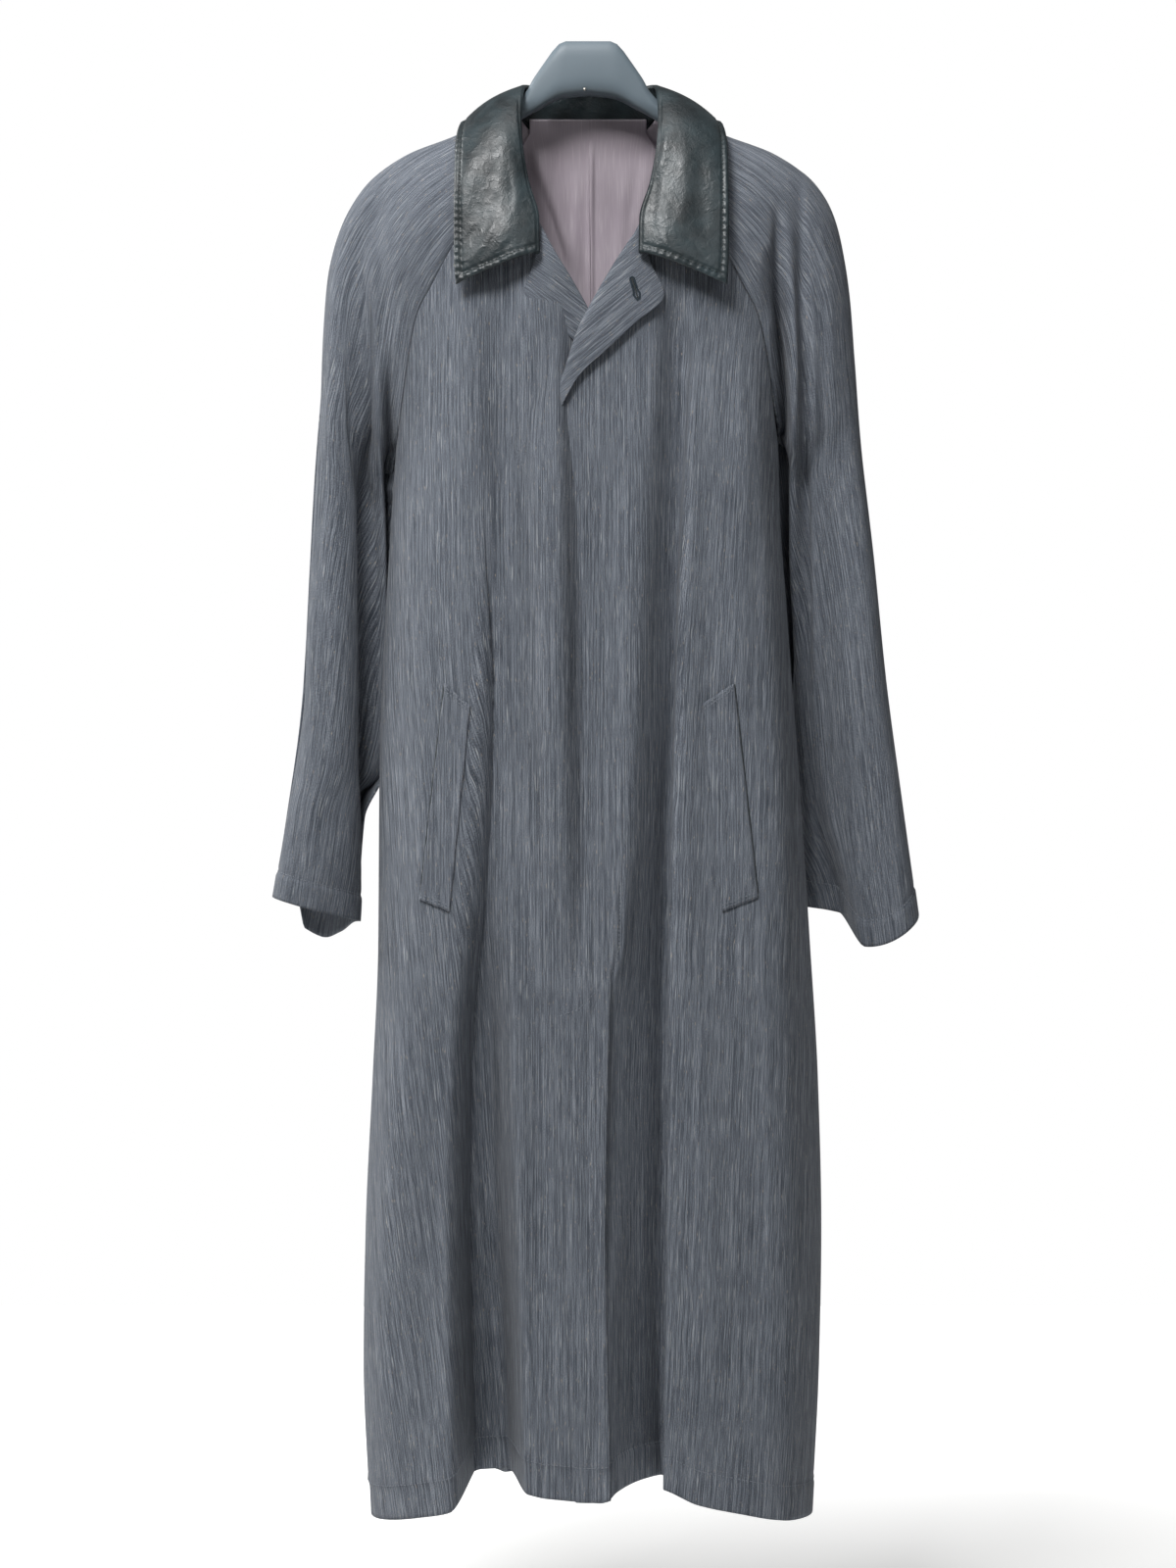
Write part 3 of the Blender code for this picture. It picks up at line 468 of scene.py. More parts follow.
turn = np.arange(361.0)
girth = np.linalg.norm(np.diff(ring(turn, HEM + 0.0 * turn), axis=0), axis=1).sum()
print("Girth at the hem:", round(float(girth)), "mm")

# %% [markdown]
# The smaller creases are listed one row each: where the crease starts and ends, how far it bows,
# how wide it is, how deep, and how much steeper one side is than the other. A positive depth is a trough
# and a negative one a ridge. Each fades at both ends, as a crease does in heavy cloth.

# %% Creases
FADE = 0.3
SHORTEST = 1e-9


def crease_depth(creases, points):
    """Sum of the troughs and ridges at each point."""
    x, drop = points[..., 0], -points[..., 2]
    total = np.zeros_like(x)
    for x_top, drop_top, x_end, drop_end, bow, width, depth, lean in creases:
        run, fall = x_end - x_top, drop_end - drop_top
        length = math.hypot(run, fall)
        along = ((x - x_top) * run + (drop - drop_top) * fall) / length ** 2
        across = ((x - x_top) * fall - (drop - drop_top) * run) / length
        across = across - bow * 4.0 * along * (1.0 - along)
        reach = width * (1.0 + lean * np.tanh(across / width))
        fade = smoothstep(along / FADE) * smoothstep((1.0 - along) / FADE)
        total += depth * fade * np.exp(-(across / reach) ** 2)
    return total


def unit(vectors):
    """Vectors of length one."""
    return vectors / np.maximum(np.linalg.norm(vectors, axis=-1, keepdims=True), SHORTEST)


def facing(points):
    """Outward directions of a grid of points."""
    return unit(np.cross(np.gradient(points, axis=0), np.gradient(points, axis=1)))


def pressed(points, depth):
    """The grid pushed in by a depth at each point."""
    return points - facing(points) * depth[..., None]


trial = np.array([(x, 0.0, -50.0) for x in (0.0, 10.0, 20.0)])
trough = crease_depth(((0, 0, 0, 100, 0, 10, 4, 0),), trial)
print("A trough 4 mm deep and 10 mm wide, across:", trough.round(2))

# %% [markdown]
# Every sheet is made the same way: a flat grid from bmesh, its points moved to their places, and a Solidify
# modifier for the thickness. Its UV map holds real metres across and along the grain, so that the weave
# follows the cloth through every fold.

# %% Making a sheet
WOOL = 2.0
SEAM_DEPTH = 0.9
SEAM_WIDTH = 1.8
SEAM_FLAT = (200.0, 300.0)
grids = {}


def lengths(points, axis):
    """Running length along a grid's rows or columns."""
    steps = np.linalg.norm(np.diff(points, axis=axis), axis=-1)
    return np.insert(np.cumsum(steps, axis=axis), 0, 0.0, axis=axis)


def own(name, mesh, material, replaced):
    """Makes the object of a mesh and hides the imported part that it replaces, if any."""
    mesh.materials.append(material)
    mesh.shade_smooth()
    piece = bpy.data.objects.new(name, mesh)
    bpy.context.scene.collection.objects.link(piece)
    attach(piece, "root")
    if replaced:
        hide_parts(replaced)
    return piece


def seamed(points, *columns):
    """Depth of the sewn seams along some of a grid's edge columns."""
    run = lengths(points, 1)
    away = [np.abs(run - run[:, column][:, None]) for column in columns]
    flat = smoothstep((-points[..., 2] - SEAM_FLAT[0]) / (SEAM_FLAT[1] - SEAM_FLAT[0]))
    return SEAM_DEPTH * (1.0 - flat) * sum(np.exp(-(distance / SEAM_WIDTH) ** 2) for distance in away)


def sheet(name, points, grain, thickness, material, replaced):
    """A sheet of cloth whose outer face is a grid of points in millimetres."""
    grids[name] = points
    rows, columns = points.shape[:2]
    shape = bmesh.new()
    bmesh.ops.create_grid(shape, x_segments=columns - 1, y_segments=rows - 1, size=0.5)
    mesh = baked(name, shape)
    place = np.empty(3 * len(mesh.vertices))
    mesh.vertices.foreach_get("co", place)
    place = place.reshape(-1, 3)
    column = np.rint((place[:, 0] + 0.5) * (columns - 1)).astype(int)
    row = np.rint((0.5 - place[:, 1]) * (rows - 1)).astype(int)
    mesh.vertices.foreach_set("co", (points[row, column] * MM).ravel())
    corner = np.empty(len(mesh.loops), int)
    mesh.loops.foreach_get("vertex_index", corner)
    uv_map = mesh.uv_layers.new(name="Grain")
    uv_map.data.foreach_set("uv", (grain[row, column][corner] * MM).ravel())
    piece = own(name, mesh, material, replaced)
    wall = piece.modifiers.new("thickness", "SOLIDIFY")
    wall.thickness = thickness * MM
    wall.offset = -1.0
    return piece


print("Wool sheets are", WOOL, "mm thick")

# %% [markdown]
# The two fronts run from the front edge to the side seam, and from the neck and the slanting raglan seam to
# the hem. The left one lies over the right one, which dips below it. Columns are spread evenly along
# the folded cloth near the hem, so that the deep folds get as many as the flat places.

# %% Fronts: edges, seams and columns
ARMPIT_STATION = 7
POCKET_LEVEL = 700.0
SPREAD_LEVEL = 1180.0
SAMPLES = 900
# drop, x of the front edge from the neck seam over the break to the hem
EDGES = {
    "left": ((122, 73), (145, 59.5), (169, 47), (204, 29), (234, 13), (269, -5), (322, -25), (350, -36),
             (380, -38), (494, -34), (717, -31), (867, -30), (1047, -23), (1320, -9)),
    "right": ((122, -73), (145, -58), (171, -43), (208, -24), (254, 1), (300, 21), (345, 36), (560, 34),
              (700, 27), (860, 19), (1050, 15), (1320, 20)),
}
# x, drop of the hem
FRONT_HEM = ((-200, 1317), (-148, 1304), (-118, 1296), (-96, 1278), (-65, 1276), (-35, 1282), (10, 1285),
             (32, 1277), (58, 1273), (95, 1288), (136, 1298), (200, 1314))
# drop, depth of the right front below the left one
UNDERLAP = ((150, 4.0), (200, 6.0), (255, 9.5), (345, 9.5), (440, 3.4), (1320, 3.4))
UNDERLAP_START = 62.0
UNDERLAP_RAMP = 54.0
# station, x out from the middle, drop of the raglan seams
RAGLAN_FRONT = ((0, 75, 118), (1, 103, 165), (2, 122, 197), (3, 137, 225), (4, 151, 251), (5, 158, 280),
                (6, 167, 345))
RAGLAN_BACK = ((0, 50, 75), (1, 85, 125), (2, 108, 165), (3, 125, 200), (4, 138, 235), (5, 148, 270),
               (6, 160, 335))
SIGN = {"left": 1.0, "right": -1.0}


def tucked(side, points):
    """A front's points with the depth of the underlap."""
    if side == "right":
        drop = -points[..., 2]
        start = curve(EDGES["left"], drop)[0] - UNDERLAP_START
        ramp = smoothstep((points[..., 0] - start) / UNDERLAP_RAMP)
        points = points.copy()
        points[..., 1] += curve(UNDERLAP, drop)[0] * ramp
    return points


def front_face(side, x, drop):
    """Points of a front's outer face."""
    return tucked(side, ring(angle_at(x, drop), drop))


def raglan(rows, station):
    """Angle and drop of the left raglan seam at each station; both seams end on the side seam."""
    number, out, drop = np.array(rows, float).T
    angle = angle_at(out, drop)
    if rows is RAGLAN_BACK:
        angle = 180.0 - angle
    table = np.stack([number, angle, drop], -1)
    return curve(np.vstack([table, (ARMPIT_STATION, SIDE_SEAM, ARMPIT)]), station)


def even_shares(start, end, cells):
    """Shares of the way from one angle to another that lie evenly along the folded cloth."""
    share = np.linspace(0.0, 1.0, SAMPLES)
    run = lengths(ring(between(start, end, share), np.full(SAMPLES, SPREAD_LEVEL)), 0)
    return np.interp(np.linspace(0.0, 1.0, cells + 1), run / run[-1], share)


left_edge, right_edge = (float(curve(EDGES[side], POCKET_LEVEL)[0]) for side in ("left", "right"))
print("The fronts overlap by", round(right_edge - left_edge), "mm at the pockets")

# %% [markdown]
# A front's grid has two parts. Above the armpit each row runs from the front edge to the raglan seam, and
# below it to the side seam. The yarns of a hanging front stay upright, so its grain keeps the drop as its
# length, and slides a little sideways where the cloth runs into a fold.

# %% Fronts: points
UPPER_ROWS = 76
LOWER_ROWS = 228
FRONT_CELLS = 112
GRAIN_SLIDE = 0.6
# times a vector, this leaves out its height
LEVEL = (1.0, 1.0, 0.0)


def front_points(side):
    """Points of a front from the neck to the hem, and their grain."""
    edge = EDGES[side]
    seam = SIGN[side] * SIDE_SEAM
    spread_edge = angle_at(curve(edge, SPREAD_LEVEL)[0], SPREAD_LEVEL)
    across = even_shares(spread_edge, seam, FRONT_CELLS)[None]
    down = (np.arange(UPPER_ROWS) / UPPER_ROWS)[:, None]
    seam_angle, seam_drop = raglan(RAGLAN_FRONT, ARMPIT_STATION * down)
    edge_drop = between(edge[0][0], ARMPIT, down)
    edge_angle = angle_at(curve(edge, edge_drop)[0], edge_drop)
    upper = ring(between(edge_angle, SIGN[side] * seam_angle, across), between(edge_drop, seam_drop, across))
    down = np.linspace(0.0, 1.0, LOWER_ROWS + 1)[:, None]
    level = between(ARMPIT, HEM, down)
    edge_angle = angle_at(curve(edge, level)[0], level)
    angle = between(edge_angle, seam, across)
    hem = curve(FRONT_HEM, ring(angle, level + 0.0 * angle)[..., 0])[0]
    lower = ring(angle, between(ARMPIT, hem, down))
    points = tucked(side, np.vstack([upper, lower]))
    run = points[:, :1, 0] + SIGN[side] * lengths(points * LEVEL, 1)
    return points, np.stack([between(points[..., 0], run, GRAIN_SLIDE), points[..., 2]], -1)


print("A front has", front_points("left")[0][..., 0].size, "points")

# %% [markdown]
# Hems are turned up and sewn. The sewing pulls a shallow groove, and below it the double cloth stands a
# little prouder. A second helper measures how far each place is from a sewn line, which marks the curve at
# the foot of the hidden button fly and the border of each pocket welt.

# %% Sewn lines
HEM_DEPTH = 30.0
GROOVE = 0.7
GROOVE_WIDTH = 2.2
DOUBLE_CLOTH = 0.9


def turned_hem(height, turn_up):
    """Depth of a turned and sewn hem at each height above the edge."""
    sewn = GROOVE * np.exp(-((height - turn_up) / GROOVE_WIDTH) ** 2)
    return sewn - DOUBLE_CLOTH * smoothstep((turn_up - height) / (2.0 * GROOVE_WIDTH))


def line_distance(path, x, drop):
    """Distance of each place from a line through the points of a path."""
    nearest = np.full(x.shape, np.inf)
    for (x_start, drop_start), (x_end, drop_end) in zip(path, path[1:]):
        run, fall = x_end - x_start, drop_end - drop_start
        share = np.clip(((x - x_start) * run + (drop - drop_start) * fall) / (run ** 2 + fall ** 2), 0.0, 1.0)
        nearest = np.minimum(nearest, np.hypot(x - x_start - share * run, drop - drop_start - share * fall))
    return nearest


print("Hem turned up", HEM_DEPTH, "mm")

# %% [markdown]
# Now the fronts get their creases. On the right front they lead down from the collar to the fold beside the
# fly, and on the left one they flatten the chest and frame the long fold. Beside each pocket a broad panel
# stands forward. A cloth simulation could draw folds too, but not put each where the real coat has it.

# %% Fronts: creases and sheets
# x and drop at the top, x and drop at the end, bow, width, depth, lean
FRONT_CREASES = {
    "right": (
        (-104, 170, -104, 560, 0, 21, 9.0, -0.2),
        (-98, 420, -90, 900, 0, 24, 11.0, -0.4),
        (-76, 180, -60, 820, 0, 13, -6.0, -0.2),
        (44, 700, 38, 1560, 0, 24, 9.0, -0.4),
        (-168, 400, -168, 940, 3, 10, -2.4, 0.0),
        (-138, 780, -146, 1300, 4, 17, -5.0, 0.1),
        (-168, 860, -172, 1310, -5, 14, 4.0, 0.2),
        (-46, 760, -42, 1240, 4, 13, -5.0, 0.1),
        (-88, 290, -58, 380, 4, 11, 2.0, 0.0),
    ),
    "left": (
        (44, 700, 38, 1560, 0, 24, 9.0, -0.4),
        (-14, 400, -12, 860, 3, 13, 3.0, 0.1),
        (42, 280, 26, 900, 0, 13, -5.0, 0.0),
        (76, 190, 62, 660, 0, 10, 3.0, -0.4),
        (90, 300, 82, 1000, 0, 12, -4.0, 0.0),
        (150, 330, 152, 720, -4, 13, 3.0, 0.2),
        (160, 390, 168, 880, 4, 12, -3.0, 0.0),
        (102, 760, 110, 1220, -4, 15, -3.0, 0.2),
        (136, 820, 146, 1300, 5, 18, 3.0, -0.2),
        (24, 800, 10, 1120, 6, 14, 6.0, 0.1),
        (0, 1000, -2, 1290, 2, 12, -3.5, 0.0),
        (60, 240, 104, 310, -5, 12, 2.2, 0.0),
    ),
}
# drop, left side, floor from, floor to, right side, depth
FOLD_BY_FLY = (
    (210, -86, -56, -30, -8, 0),
    (330, -84, -50, -28, -8, 17),
    (420, -78, -42, -26, -6, 26),
    (560, -70, -37, -24, -4, 28),
    (700, -62, -35, -22, -2, 19),
    (860, -56, -34, -20, 0, 0),
)
SIDE_PANEL = {
    "left": ((250, 76, 128, 140, 166, 0), (380, 80, 140, 150, 170, -13), (560, 78, 146, 156, 177, -15),
             (800, 74, 156, 168, 194, -15), (1060, 72, 158, 172, 202, -13), (1320, 70, 156, 170, 198, -10)),
    "right": ((340, -168, -150, -138, -96, 0), (430, -174, -158, -146, -96, -8),
              (620, -186, -166, -152, -100, -10), (900, -188, -170, -154, -112, -10),
              (1150, -192, -172, -156, -120, 0)),
}
# corner x and drop: top inner, top outer, bottom inner, bottom outer
WELTS = {
    "left": ((100, 596), (127.5, 578), (116.5, 777), (148, 765)),
    "right": ((-102, 598), (-125, 578), (-120, 777), (-146.5, 767)),
}
# x, drop along the sewing at the foot of the fly
FLY_SEWING = ((28, 752), (27, 806), (24, 824), (17, 836), (6, 847), (-8, 861), (-30, 869))
FLY_RIDGE, RIDGE_WIDTH = 2.0, 6.6
WELT_GROOVE = 1.0


def front(side):
    """A front's sheet with its creases, its hem and the fly's sewing."""
    points, grain = front_points(side)
    x, drop = points[..., 0], -points[..., 2]
    points[..., 1] += fold(SIDE_PANEL[side], x, drop)
    depth = crease_depth(FRONT_CREASES[side], points)
    depth += turned_hem(drop[-1:] - drop, HEM_DEPTH) + seamed(points, -1)
    if side == "right":
        depth += fold(FOLD_BY_FLY, x, drop)
    else:
        off = line_distance(FLY_SEWING, x, drop)
        depth += FLY_RIDGE * (np.exp(-(off / GROOVE_WIDTH) ** 2) - np.exp(-(off / RIDGE_WIDTH) ** 2))
    top_inner, top_outer, low_inner, low_outer = WELTS[side]
    off = line_distance((top_inner, top_outer, low_outer, low_inner, top_inner), x, drop)
    depth += WELT_GROOVE * np.exp(-(off / GROOVE_WIDTH) ** 2)
    points = pressed(points, depth)
    if side == "right":
        points, grain = points[:, ::-1], grain[:, ::-1]
    sheet("front_" + side + "_cloth", points, grain, WOOL, wool, "front_" + side)


for side in ("left", "right"):
    front(side)

# %% [markdown]
# The back is one sheet from one side seam round to the other, with the two raglan seams above. Its folds
# are like those in front, a little calmer, since the cloth hangs straight from the shoulders.

# %% Back
BACK_CELLS = 150
BACK_UPPER_ROWS = 70
BACK_LOWER_ROWS = 200
SIDE_SHARE, SIDE_BLEND = 0.45, 0.05
# x, drop of the hem
BACK_HEM = ((-200, 1317), (-100, 1296), (0, 1288), (100, 1294), (200, 1314))
# columns as in FRONT_CREASES
BACK_CREASES = (
    (-22, 240, -30, 700, 4, 22, 3.6, 0.1),
    (24, 300, 34, 820, -4, 20, -3.0, 0.1),
    (-118, 300, -110, 800, 5, 18, 4.4, 0.2),
    (122, 320, 116, 760, -5, 18, 4.0, -0.2),
    (-142, 430, -150, 960, 4, 16, -3.4, 0.0),
    (146, 440, 156, 1000, -4, 17, -3.6, 0.0),
    (-8, 760, -4, 1270, 3, 18, 3.4, 0.1),
    (-128, 860, -134, 1290, 4, 18, 4.0, 0.1),
    (132, 880, 142, 1290, -4, 20, 4.4, 0.1),
    (-70, 170, -110, 330, 6, 16, 2.6, 0.0),
    (66, 180, 112, 340, -6, 16, 2.8, 0.0),
)


def back_points():
    """Points of the back from the left side seam to the right one, and their grain."""
    across = even_shares(SIDE_SEAM, 360.0 - SIDE_SEAM, BACK_CELLS)[None]
    down = (np.arange(BACK_UPPER_ROWS) / BACK_UPPER_ROWS)[:, None]
    seam_angle, drop = raglan(RAGLAN_BACK, ARMPIT_STATION * down)
    upper = ring(between(seam_angle, 360.0 - seam_angle, across), drop + 0.0 * across)
    down = np.linspace(0.0, 1.0, BACK_LOWER_ROWS + 1)[:, None]
    angle = between(SIDE_SEAM, 360.0 - SIDE_SEAM, across) + 0.0 * down
    level = between(ARMPIT, HEM, down) + 0.0 * across
    x = ring(angle, level)[..., 0]
    side = smoothstep((np.abs(across - 0.5) - SIDE_SHARE) / SIDE_BLEND)
    hem = between(curve(BACK_HEM, x)[0], curve(FRONT_HEM, x)[0], side)
    points = np.vstack([upper, ring(angle, between(ARMPIT, hem, down))])
    run = lengths(points * LEVEL, 1)
    return points, np.stack([run - run[:, BACK_CELLS // 2][:, None], points[..., 2]], -1)


back_grid, back_grain = back_points()
drop = -back_grid[..., 2]
back_depth = crease_depth(BACK_CREASES, back_grid) + turned_hem(drop[-1:] - drop, HEM_DEPTH)
back_depth += seamed(back_grid, 0, -1)
sheet("back_cloth", pressed(back_grid, back_depth), back_grain, WOOL, wool, "back")

# %% [markdown]
# A raglan sleeve has a front and a back half, joined over the shoulder and down the arm by one seam and under
# the arm by another. Each half bulges between its two seams, so a cubic curve with two handles draws every
# section. The grain follows the raglan seam, which is why it runs slanting at the shoulder.

# %% Sleeve sections
SLEEVE_CELLS = 60
SLEEVE_UPPER_ROWS = 76
ARM_ROWS = 124
CUFF_STATION = 11
# station, x out from the middle, drop, y of the shoulder and overarm seam
OUTER_EDGE = {
    "right": ((0, 71, 53, 0), (1, 114, 81, 3), (2, 164, 101, 5), (3, 201, 129, 7), (4, 222, 167, 8),
              (5, 233, 212, 9), (6, 238, 280, 10), (7, 245, 378, 11), (8, 250, 467, 12), (9, 257, 585, 12),
              (10, 271, 691, 10), (11, 283, 767, 8)),
    "left": ((0, 71, 53, 0), (1, 116, 80, 3), (2, 168, 100, 5), (3, 205, 127, 7), (4, 223, 160, 8),
             (5, 235, 222, 9), (6, 241, 292, 10), (7, 246, 366, 11), (8, 258, 467, 12), (9, 269, 573, 12),
             (10, 283, 679, 11), (11, 297, 781, 10)),
}
INNER_EDGE = {
    "right": ((7.35, 168, 424, 25), (8, 170, 480, 30), (9, 176, 590, 36), (9.6, 184, 655, 33),
              (10, 202, 697, 23), (11, 208, 790, 18)),
    "left": ((8, 173, 480, 28), (9, 179, 590, 36), (10, 186, 690, 42), (11, 189, 776, 46)),
}
# station, fullness in front at the outer and inner edge, behind at the outer and inner edge
FULLNESS = ((0, 18, 3, 18, 3), (2, 27, 5, 27, 6), (4, 36, 8, 38, 10), (7, 52, 16, 64, 22),
            (9, 66, 46, 82, 56), (11, 60, 44, 76, 52))
INNER_PULL = 0.35
# station, share of the way in, depth of the long crease
LONG_CREASE = {
    "right": ((2.5, 0.38, 0), (4.5, 0.43, 6), (7, 0.55, 8), (9, 0.66, 8), (10.5, 0.7, 0)),
    "left": ((2.5, 0.50, 0), (4.5, 0.56, 6), (7, 0.64, 8), (9, 0.7, 8), (10.5, 0.7, 0)),
}
CREASE_SPREAD = 0.2
SEAM_CLEAR = 0.22
# station, share of the way in, strength of the fold where the front turns back to its inner edge
FOLD_BACK = {
    "right": ((5.5, 0.5, 0), (7, 0.58, 0.4), (8, 0.67, 0.75), (9, 0.74, 0.9), (9.6, 0.78, 0.7),
              (10.2, 0.8, 0)),
    "left": ((5.5, 0.6, 0), (7, 0.66, 0.3), (8, 0.74, 0.6), (9, 0.78, 0.7), (10, 0.73, 0.8), (11, 0.57, 1)),
}
FOLD_BACK_SPREAD = 0.12
FOLD_BACK_DEPTH = 12.0
# share of the way in, how far the cuff hangs below the line of its ends
CUFF_DIP = {
    "left_front": ((0, 0), (0.12, 8), (0.56, 33), (0.7, 5), (1, 0)),
    "left_back": ((0, 0), (1, 0)),
    "right_front": ((0, 0), (1, 0)),
    "right_back": ((0, 0), (0.38, 1), (0.45, 24), (0.62, 27), (0.8, 16), (0.95, 2), (1, 0)),
}
DIP_START = 9.6


def inner_edge(side, half, station):
    """Points of a sleeve's raglan seam and, below the armpit, of its underarm seam."""
    rows = RAGLAN_FRONT if half == "front" else RAGLAN_BACK
    angle, drop = raglan(rows, np.minimum(station, ARMPIT_STATION))
    seam = ring(SIGN[side] * angle, drop)
    armpit = ring(np.array(SIGN[side] * SIDE_SEAM), np.array(ARMPIT))
    table = [(ARMPIT_STATION, abs(armpit[0]), ARMPIT, armpit[1])] + list(INNER_EDGE[side])
    out, drop, y = curve(table, np.maximum(station, ARMPIT_STATION))
    under = np.stack([SIGN[side] * out, y, -drop], -1)
    return np.where((station <= ARMPIT_STATION)[..., None], seam, under)


def sleeve_points(side, half, station, across):
    """Points of a sleeve half; across runs from the outer edge, 0, to the inner edge, 1."""
    out, drop, y = curve(OUTER_EDGE[side], station)
    outer = np.stack([SIGN[side] * out, y, -drop], -1)
    inner = inner_edge(side, half, station)
    fullness = curve(FULLNESS, station)
    near, far = -fullness[:2] if half == "front" else fullness[2:]
    pull = (outer - inner) * INNER_PULL
    handle_outer = outer + np.stack([0.0 * near, near, 0.0 * near], -1)
    handle_inner = inner + np.stack([pull[..., 0], far, pull[..., 2]], -1)
    share, rest = across[..., None], 1.0 - across[..., None]
    points = outer * rest ** 3 + handle_outer * 3.0 * share * rest ** 2
    points = points + handle_inner * 3.0 * share ** 2 * rest + inner * share ** 3
    clear = smoothstep((1.0 - across) / SEAM_CLEAR)
    if half == "front":
        place, depth = curve(LONG_CREASE[side], station)
        points[..., 1] += depth * clear * smoothstep(1.0 - np.abs(across - place) / CREASE_SPREAD)
        place, strength = curve(FOLD_BACK[side], station)
        behind = inner[..., 1] - FOLD_BACK_DEPTH - points[..., 1]
        points[..., 1] += behind * strength * clear * smoothstep((across - place) / FOLD_BACK_SPREAD)
    hang = smoothstep((station - DIP_START) / (CUFF_STATION - DIP_START))
    points[..., 2] -= curve(CUFF_DIP[side + "_" + half], across)[0] * hang
    return points


print("Overarm seam of the left sleeve ends", OUTER_EDGE["left"][-1][1], "mm from the middle")

# %% [markdown]
# An empty sleeve falls flat against the body. Its outer part stays round, and a deep valley runs down between
# that part and the side. The lining shows only inside the neck, so the inner faces above the collarbone are
# satin and those at the cuffs wool: the Solidify modifier gives inner faces the next material.

# %% Sleeves: creases and sheets
CUFF_DEPTH = 24.0
LINED_TO = 190.0
RAGLAN_SLIDE = 0.35
# columns as in FRONT_CREASES
SLEEVE_CREASES = {
    "right_front": (
        (-202, 150, -198, 860, -1, 8, 22.0, 0.5),
        (-220, 120, -218, 900, 0, 15, -9.0, 0.0),
        (-193, 128, -178, 470, 5, 8, 6.0, 0.2),
        (-188, 260, -184, 520, 0, 5, -5.0, 0.0),
        (-176, 270, -177, 520, 0, 4, 14.0, 0.2),
        (-238, 260, -242, 560, 3, 12, 2.2, 0.1),
        (-244, 520, -262, 800, -3, 13, 3.0, 0.1),
        (-226, 590, -246, 800, 3, 11, -2.6, 0.0),
        (-176, 130, -226, 210, 5, 12, 2.0, 0.0),
        (-140, 120, -176, 230, 4, 12, -1.8, 0.0),
    ),
    "left_front": (
        (189, 100, 199, 640, 2, 5, 9.0, -0.6),
        (199, 180, 208, 620, 0, 9, -3.6, 0.0),
        (180, 200, 187, 560, 0, 6, -8.0, 0.0),
        (169, 130, 177, 660, 0, 6, 34.0, 0.0),
        (161, 182, 160, 268, 0, 6, 4.4, 0.0),
        (226, 220, 236, 600, -3, 12, 2.2, 0.1),
        (240, 460, 270, 790, 3, 14, 3.0, 0.1),
        (222, 560, 252, 800, -3, 11, -2.6, 0.0),
        (176, 128, 222, 208, -5, 12, 1.8, 0.0),
        (140, 120, 172, 220, -4, 12, -1.6, 0.0),
    ),
    "right_back": (
        (-200, 200, -206, 620, 5, 14, 4.0, 0.2),
        (-226, 300, -236, 720, -4, 14, -3.0, 0.0),
        (-186, 430, -214, 700, 4, 11, 3.0, 0.1),
    ),
    "left_back": (
        (204, 210, 212, 640, -5, 14, 4.0, 0.2),
        (228, 300, 244, 720, 4, 14, -3.2, 0.0),
        (188, 430, 220, 700, -4, 11, 2.8, 0.1),
    ),
}


def sleeve(side, half):
    """A sleeve half's sheet with its creases and its cuff hem."""
    upper = ARMPIT_STATION * np.arange(SLEEVE_UPPER_ROWS) / SLEEVE_UPPER_ROWS
    station = np.append(upper, np.linspace(ARMPIT_STATION, CUFF_STATION, ARM_ROWS + 1))
    across = np.linspace(0.0, 1.0, SLEEVE_CELLS + 1)
    station, across = np.meshgrid(station, across, indexing="ij")
    points = sleeve_points(side, half, station, across)
    if (side == "left") == (half == "front"):
        points = points[:, ::-1]
    inner = 0 if (side == "left") == (half == "front") else -1
    run, fall = lengths(points, 1), lengths(points, 0)
    from_inner = run - run[:, inner][:, None]
    width = run[:, -1:]
    slide = np.where(station < ARMPIT_STATION, RAGLAN_SLIDE, 1.0) * (width - width[SLEEVE_UPPER_ROWS])
    grain = np.stack([from_inner - slide if inner == 0 else from_inner + slide, -fall], -1)
    depth = crease_depth(SLEEVE_CREASES[side + "_" + half], points)
    depth += turned_hem(fall[-1:] - fall, CUFF_DEPTH) + seamed(points, 0, -1)
    name = "sleeve_" + side + "_" + half
    piece = sheet(name + "_cloth", pressed(points, depth), grain, WOOL, wool, name)
    piece.data.materials.append(satin)
    piece.data.materials.append(wool)
    low = [-face.center.z > LINED_TO * MM for face in piece.data.polygons]
    piece.data.polygons.foreach_set("material_index", np.where(low, 2, 0).astype(np.int32))
    piece.modifiers["thickness"].material_offset = 1


for side in ("left", "right"):
    for half in ("front", "back"):
        sleeve(side, half)

# %% [markdown]
# The lining shows through the open neck. It lies just inside the back and its creases, in two halves that are
# sewn together down the middle, and sags into a few soft folds of its own below the neck seam.

# %% Lining
LAY = 0.6
SATIN = 1.0
LINING_ROWS = 84
STAND_ROWS = 6
STAND_FACED = 13.0
STAND_LEAN = 1.5
TOP_SPREAD = 0.1
SPREAD_FROM, SPREAD_FADE = 60.0, 40.0
SAG_FROM, SAG_FADE = 78.0, 20.0
RIDGE_LIMIT = 0.3
